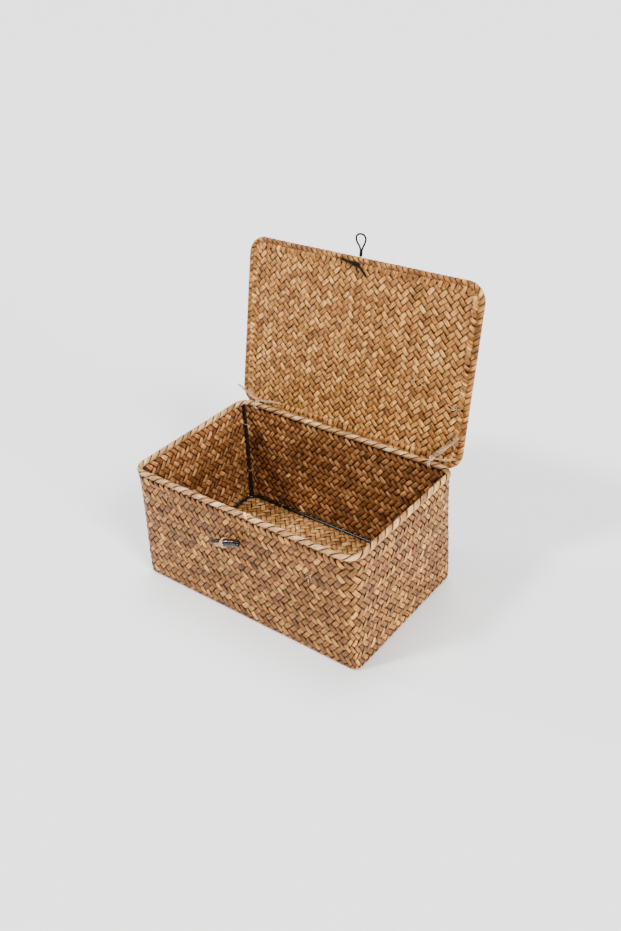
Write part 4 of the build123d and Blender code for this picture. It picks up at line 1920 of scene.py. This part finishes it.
LEVEL = ((1.0, 0.0, 0.0), (0.0, 1.0, 0.0), (0.0, 0.0, 1.0))
FRONT = ((1.0, 0.0, 0.0), (0.0, 0.0, 1.0), (0.0, -1.0, 0.0))


@dataclass
class Ties:
    """The two hinge ties and their four free ends."""

    sizes: Sizes
    seeds: dict[str, float] = field(default_factory=lambda: {"left": 0.15, "right": 0.55})

    def build(self, finishes: Finishes) -> None:
        """Lays the free ends, then winds the ties."""
        ties = {side: HingeTie(side, self.sizes, seed) for side, seed in self.seeds.items()}
        ends = (
            ("left_side", 1, {"length": 32.8}),
            ("right_up", 2, {"length": 36.5, "fray": 40, "fray_length": 12.0, "spread": 1.3,
                             "loose": 26}),
            ("left_up", 3, {}),
            ("right_side", 4, {}),
        )
        for name, seed, sizes in ends:
            node = f"tie_end_{name}"
            start_x = ties[name.split("_")[0]].middle_x
            end = TwineEnd(node, start_x, TWINE_ENDS[node], self.sizes, seed, **sizes)
            end.build(finishes)
        for tie in ties.values():
            tie.build(finishes)


@dataclass
class Basket:
    """The box below the lid: its walls, floor, rim and loose fibres."""

    sizes: Sizes
    floor_middle: float = 1.85
    sharper: float = 8.0
    splice_at: float = 16.5

    def build_plaits(self, finishes: Finishes) -> None:
        """Plaits the walls and the floor, whose corners are as sharp as the walls' base."""
        WallPlait(self.sizes).build(finishes)
        ring = self.sizes.wall_ring
        outline = Ring(ring.half_x, ring.half_y, ring.corner - self.sharper)
        # The floor uses its own brighter finish: painted light inside the box.
        FlatPlait(
            "floor_plait", Flat((0.0, 0.0, self.floor_middle), *LEVEL), outline, (0.0, 0.0),
            Plait(4.05, 4.5, Twill.COLUMNS, 0.98, 0.95), Body.BOX, "woven_body", seed=21,
            overlap=3.4, finish="floor_lit_seagrass",
        ).build(finishes)

    def build_rim(self, finishes: Finishes) -> None:
        """Winds the rim and lays its splice."""
        face = Flat((0.0, 0.0, self.sizes.rim_height), *LEVEL)
        rim = Border(
            "rim_roll", self.sizes.rim_ring, face, (0.0, 0.0), Body.BOX, "rim_border", seed=41,
            way=1, lay=27.0, strands=2, share=0.93, half_thick=0.8,
        )
        rim.build(finishes)
        RimSplice(rim, self.splice_at).build(finishes)

    def build_fibres(self, finishes: Finishes) -> None:
        """Lays loose fibres on the front wall."""
        places = ((-98.0, 128.0, 7.0), (20.0, 133.0, 7.0), (97.0, 104.0, 8.0))
        front = Flat((0.0, -self.sizes.wall_ring.half_y, 0.0), *FRONT)
        StrayFibres(
            "wall_stray_fibres", front, places, Body.BOX, "woven_body", 62
        ).build(finishes)


@dataclass
class Lid:
    """The lid's sheet, border and loose fibres."""

    sizes: Sizes

    @property
    def middle(self) -> tuple[float, float]:
        """The middle of the lid in its own plane."""
        return (0.0, self.sizes.lid_reach / 2)

    def build_plait(self, finishes: Finishes) -> None:
        """Plaits the sheet."""
        FlatPlait(
            "lid_plait", self.sizes.lid, self.sizes.lid_ring, self.middle,
            Plait(3.8, 4.2, Twill.COLUMNS, 0.98, 0.95), Body.LID, "lid_panel", seed=31,
            overlap=0.2, finish="lid_seagrass",
        ).build(finishes)

    def build_border(self, finishes: Finishes) -> None:
        """Winds the border and lays the tucked ends beside it."""
        ring, face = self.sizes.lid_ring, self.sizes.lid
        Border(
            "lid_roll", ring, face, self.middle, Body.LID, "lid_border", seed=42, way=-1,
            lay=14.4, strands=2, finish="seagrass", share=0.92, half_thick=0.75,
        ).build(finishes)
        TuckedEnds(
            "lid_tucked_ends", face, ring, self.middle, Body.LID, "lid_border", seed=51,
            spacing=7.2, inner=11.5, outer=2.0, slant=0.3, height=2.0,
        ).build(finishes)

    def build_fibres(self, finishes: Finishes) -> None:
        """Lays loose fibres near the lid's right edge."""
        places = ((140.0, 66.0, 12.0), (88.0, 88.0, 9.0), (146.0, 44.0, 10.0))
        StrayFibres(
            "lid_stray_fibres", self.sizes.lid, places, Body.LID, "lid_panel", 61
        ).build(finishes)


# ---------------------------------------------------------------- everything


def paint_nodes(finishes: Finishes) -> None:
    """Gives the CAD wires and stitches their own finishes."""
    for name, thing in frame["nodes"].items():
        finish = None
        if "wire" in name or name.startswith("corner_post"):
            finish = finishes.paint
        elif name == "frame_stitches":
            finish = finishes.stitch
        if finish is not None:
            thing.data.materials.clear()
            thing.data.materials.append(finish)
            LOG.info("%s: finish %s", name, finish.name)


def main() -> None:
    """Builds camera, cords, plaits, borders, fibres, toggle and studio, in that order."""
    logging.basicConfig(level=logging.INFO, format="%(name)s: %(message)s")
    sizes = Sizes()
    finishes = Finishes.make()
    studio, cord = Studio(), ClosureCord(sizes)
    basket, lid = Basket(sizes), Lid(sizes)
    studio.build_camera()
    cord.build_loop(finishes)
    Ties(sizes).build(finishes)
    cord.build_whipping(finishes)
    cord.build_knot(finishes)
    basket.build_plaits(finishes)
    lid.build_plait(finishes)
    basket.build_rim(finishes)
    lid.build_border(finishes)
    lid.build_fibres(finishes)
    basket.build_fibres(finishes)
    Toggle().build(finishes)
    paint_nodes(finishes)
    studio.build_light()


if __name__ == "__main__":
    main()
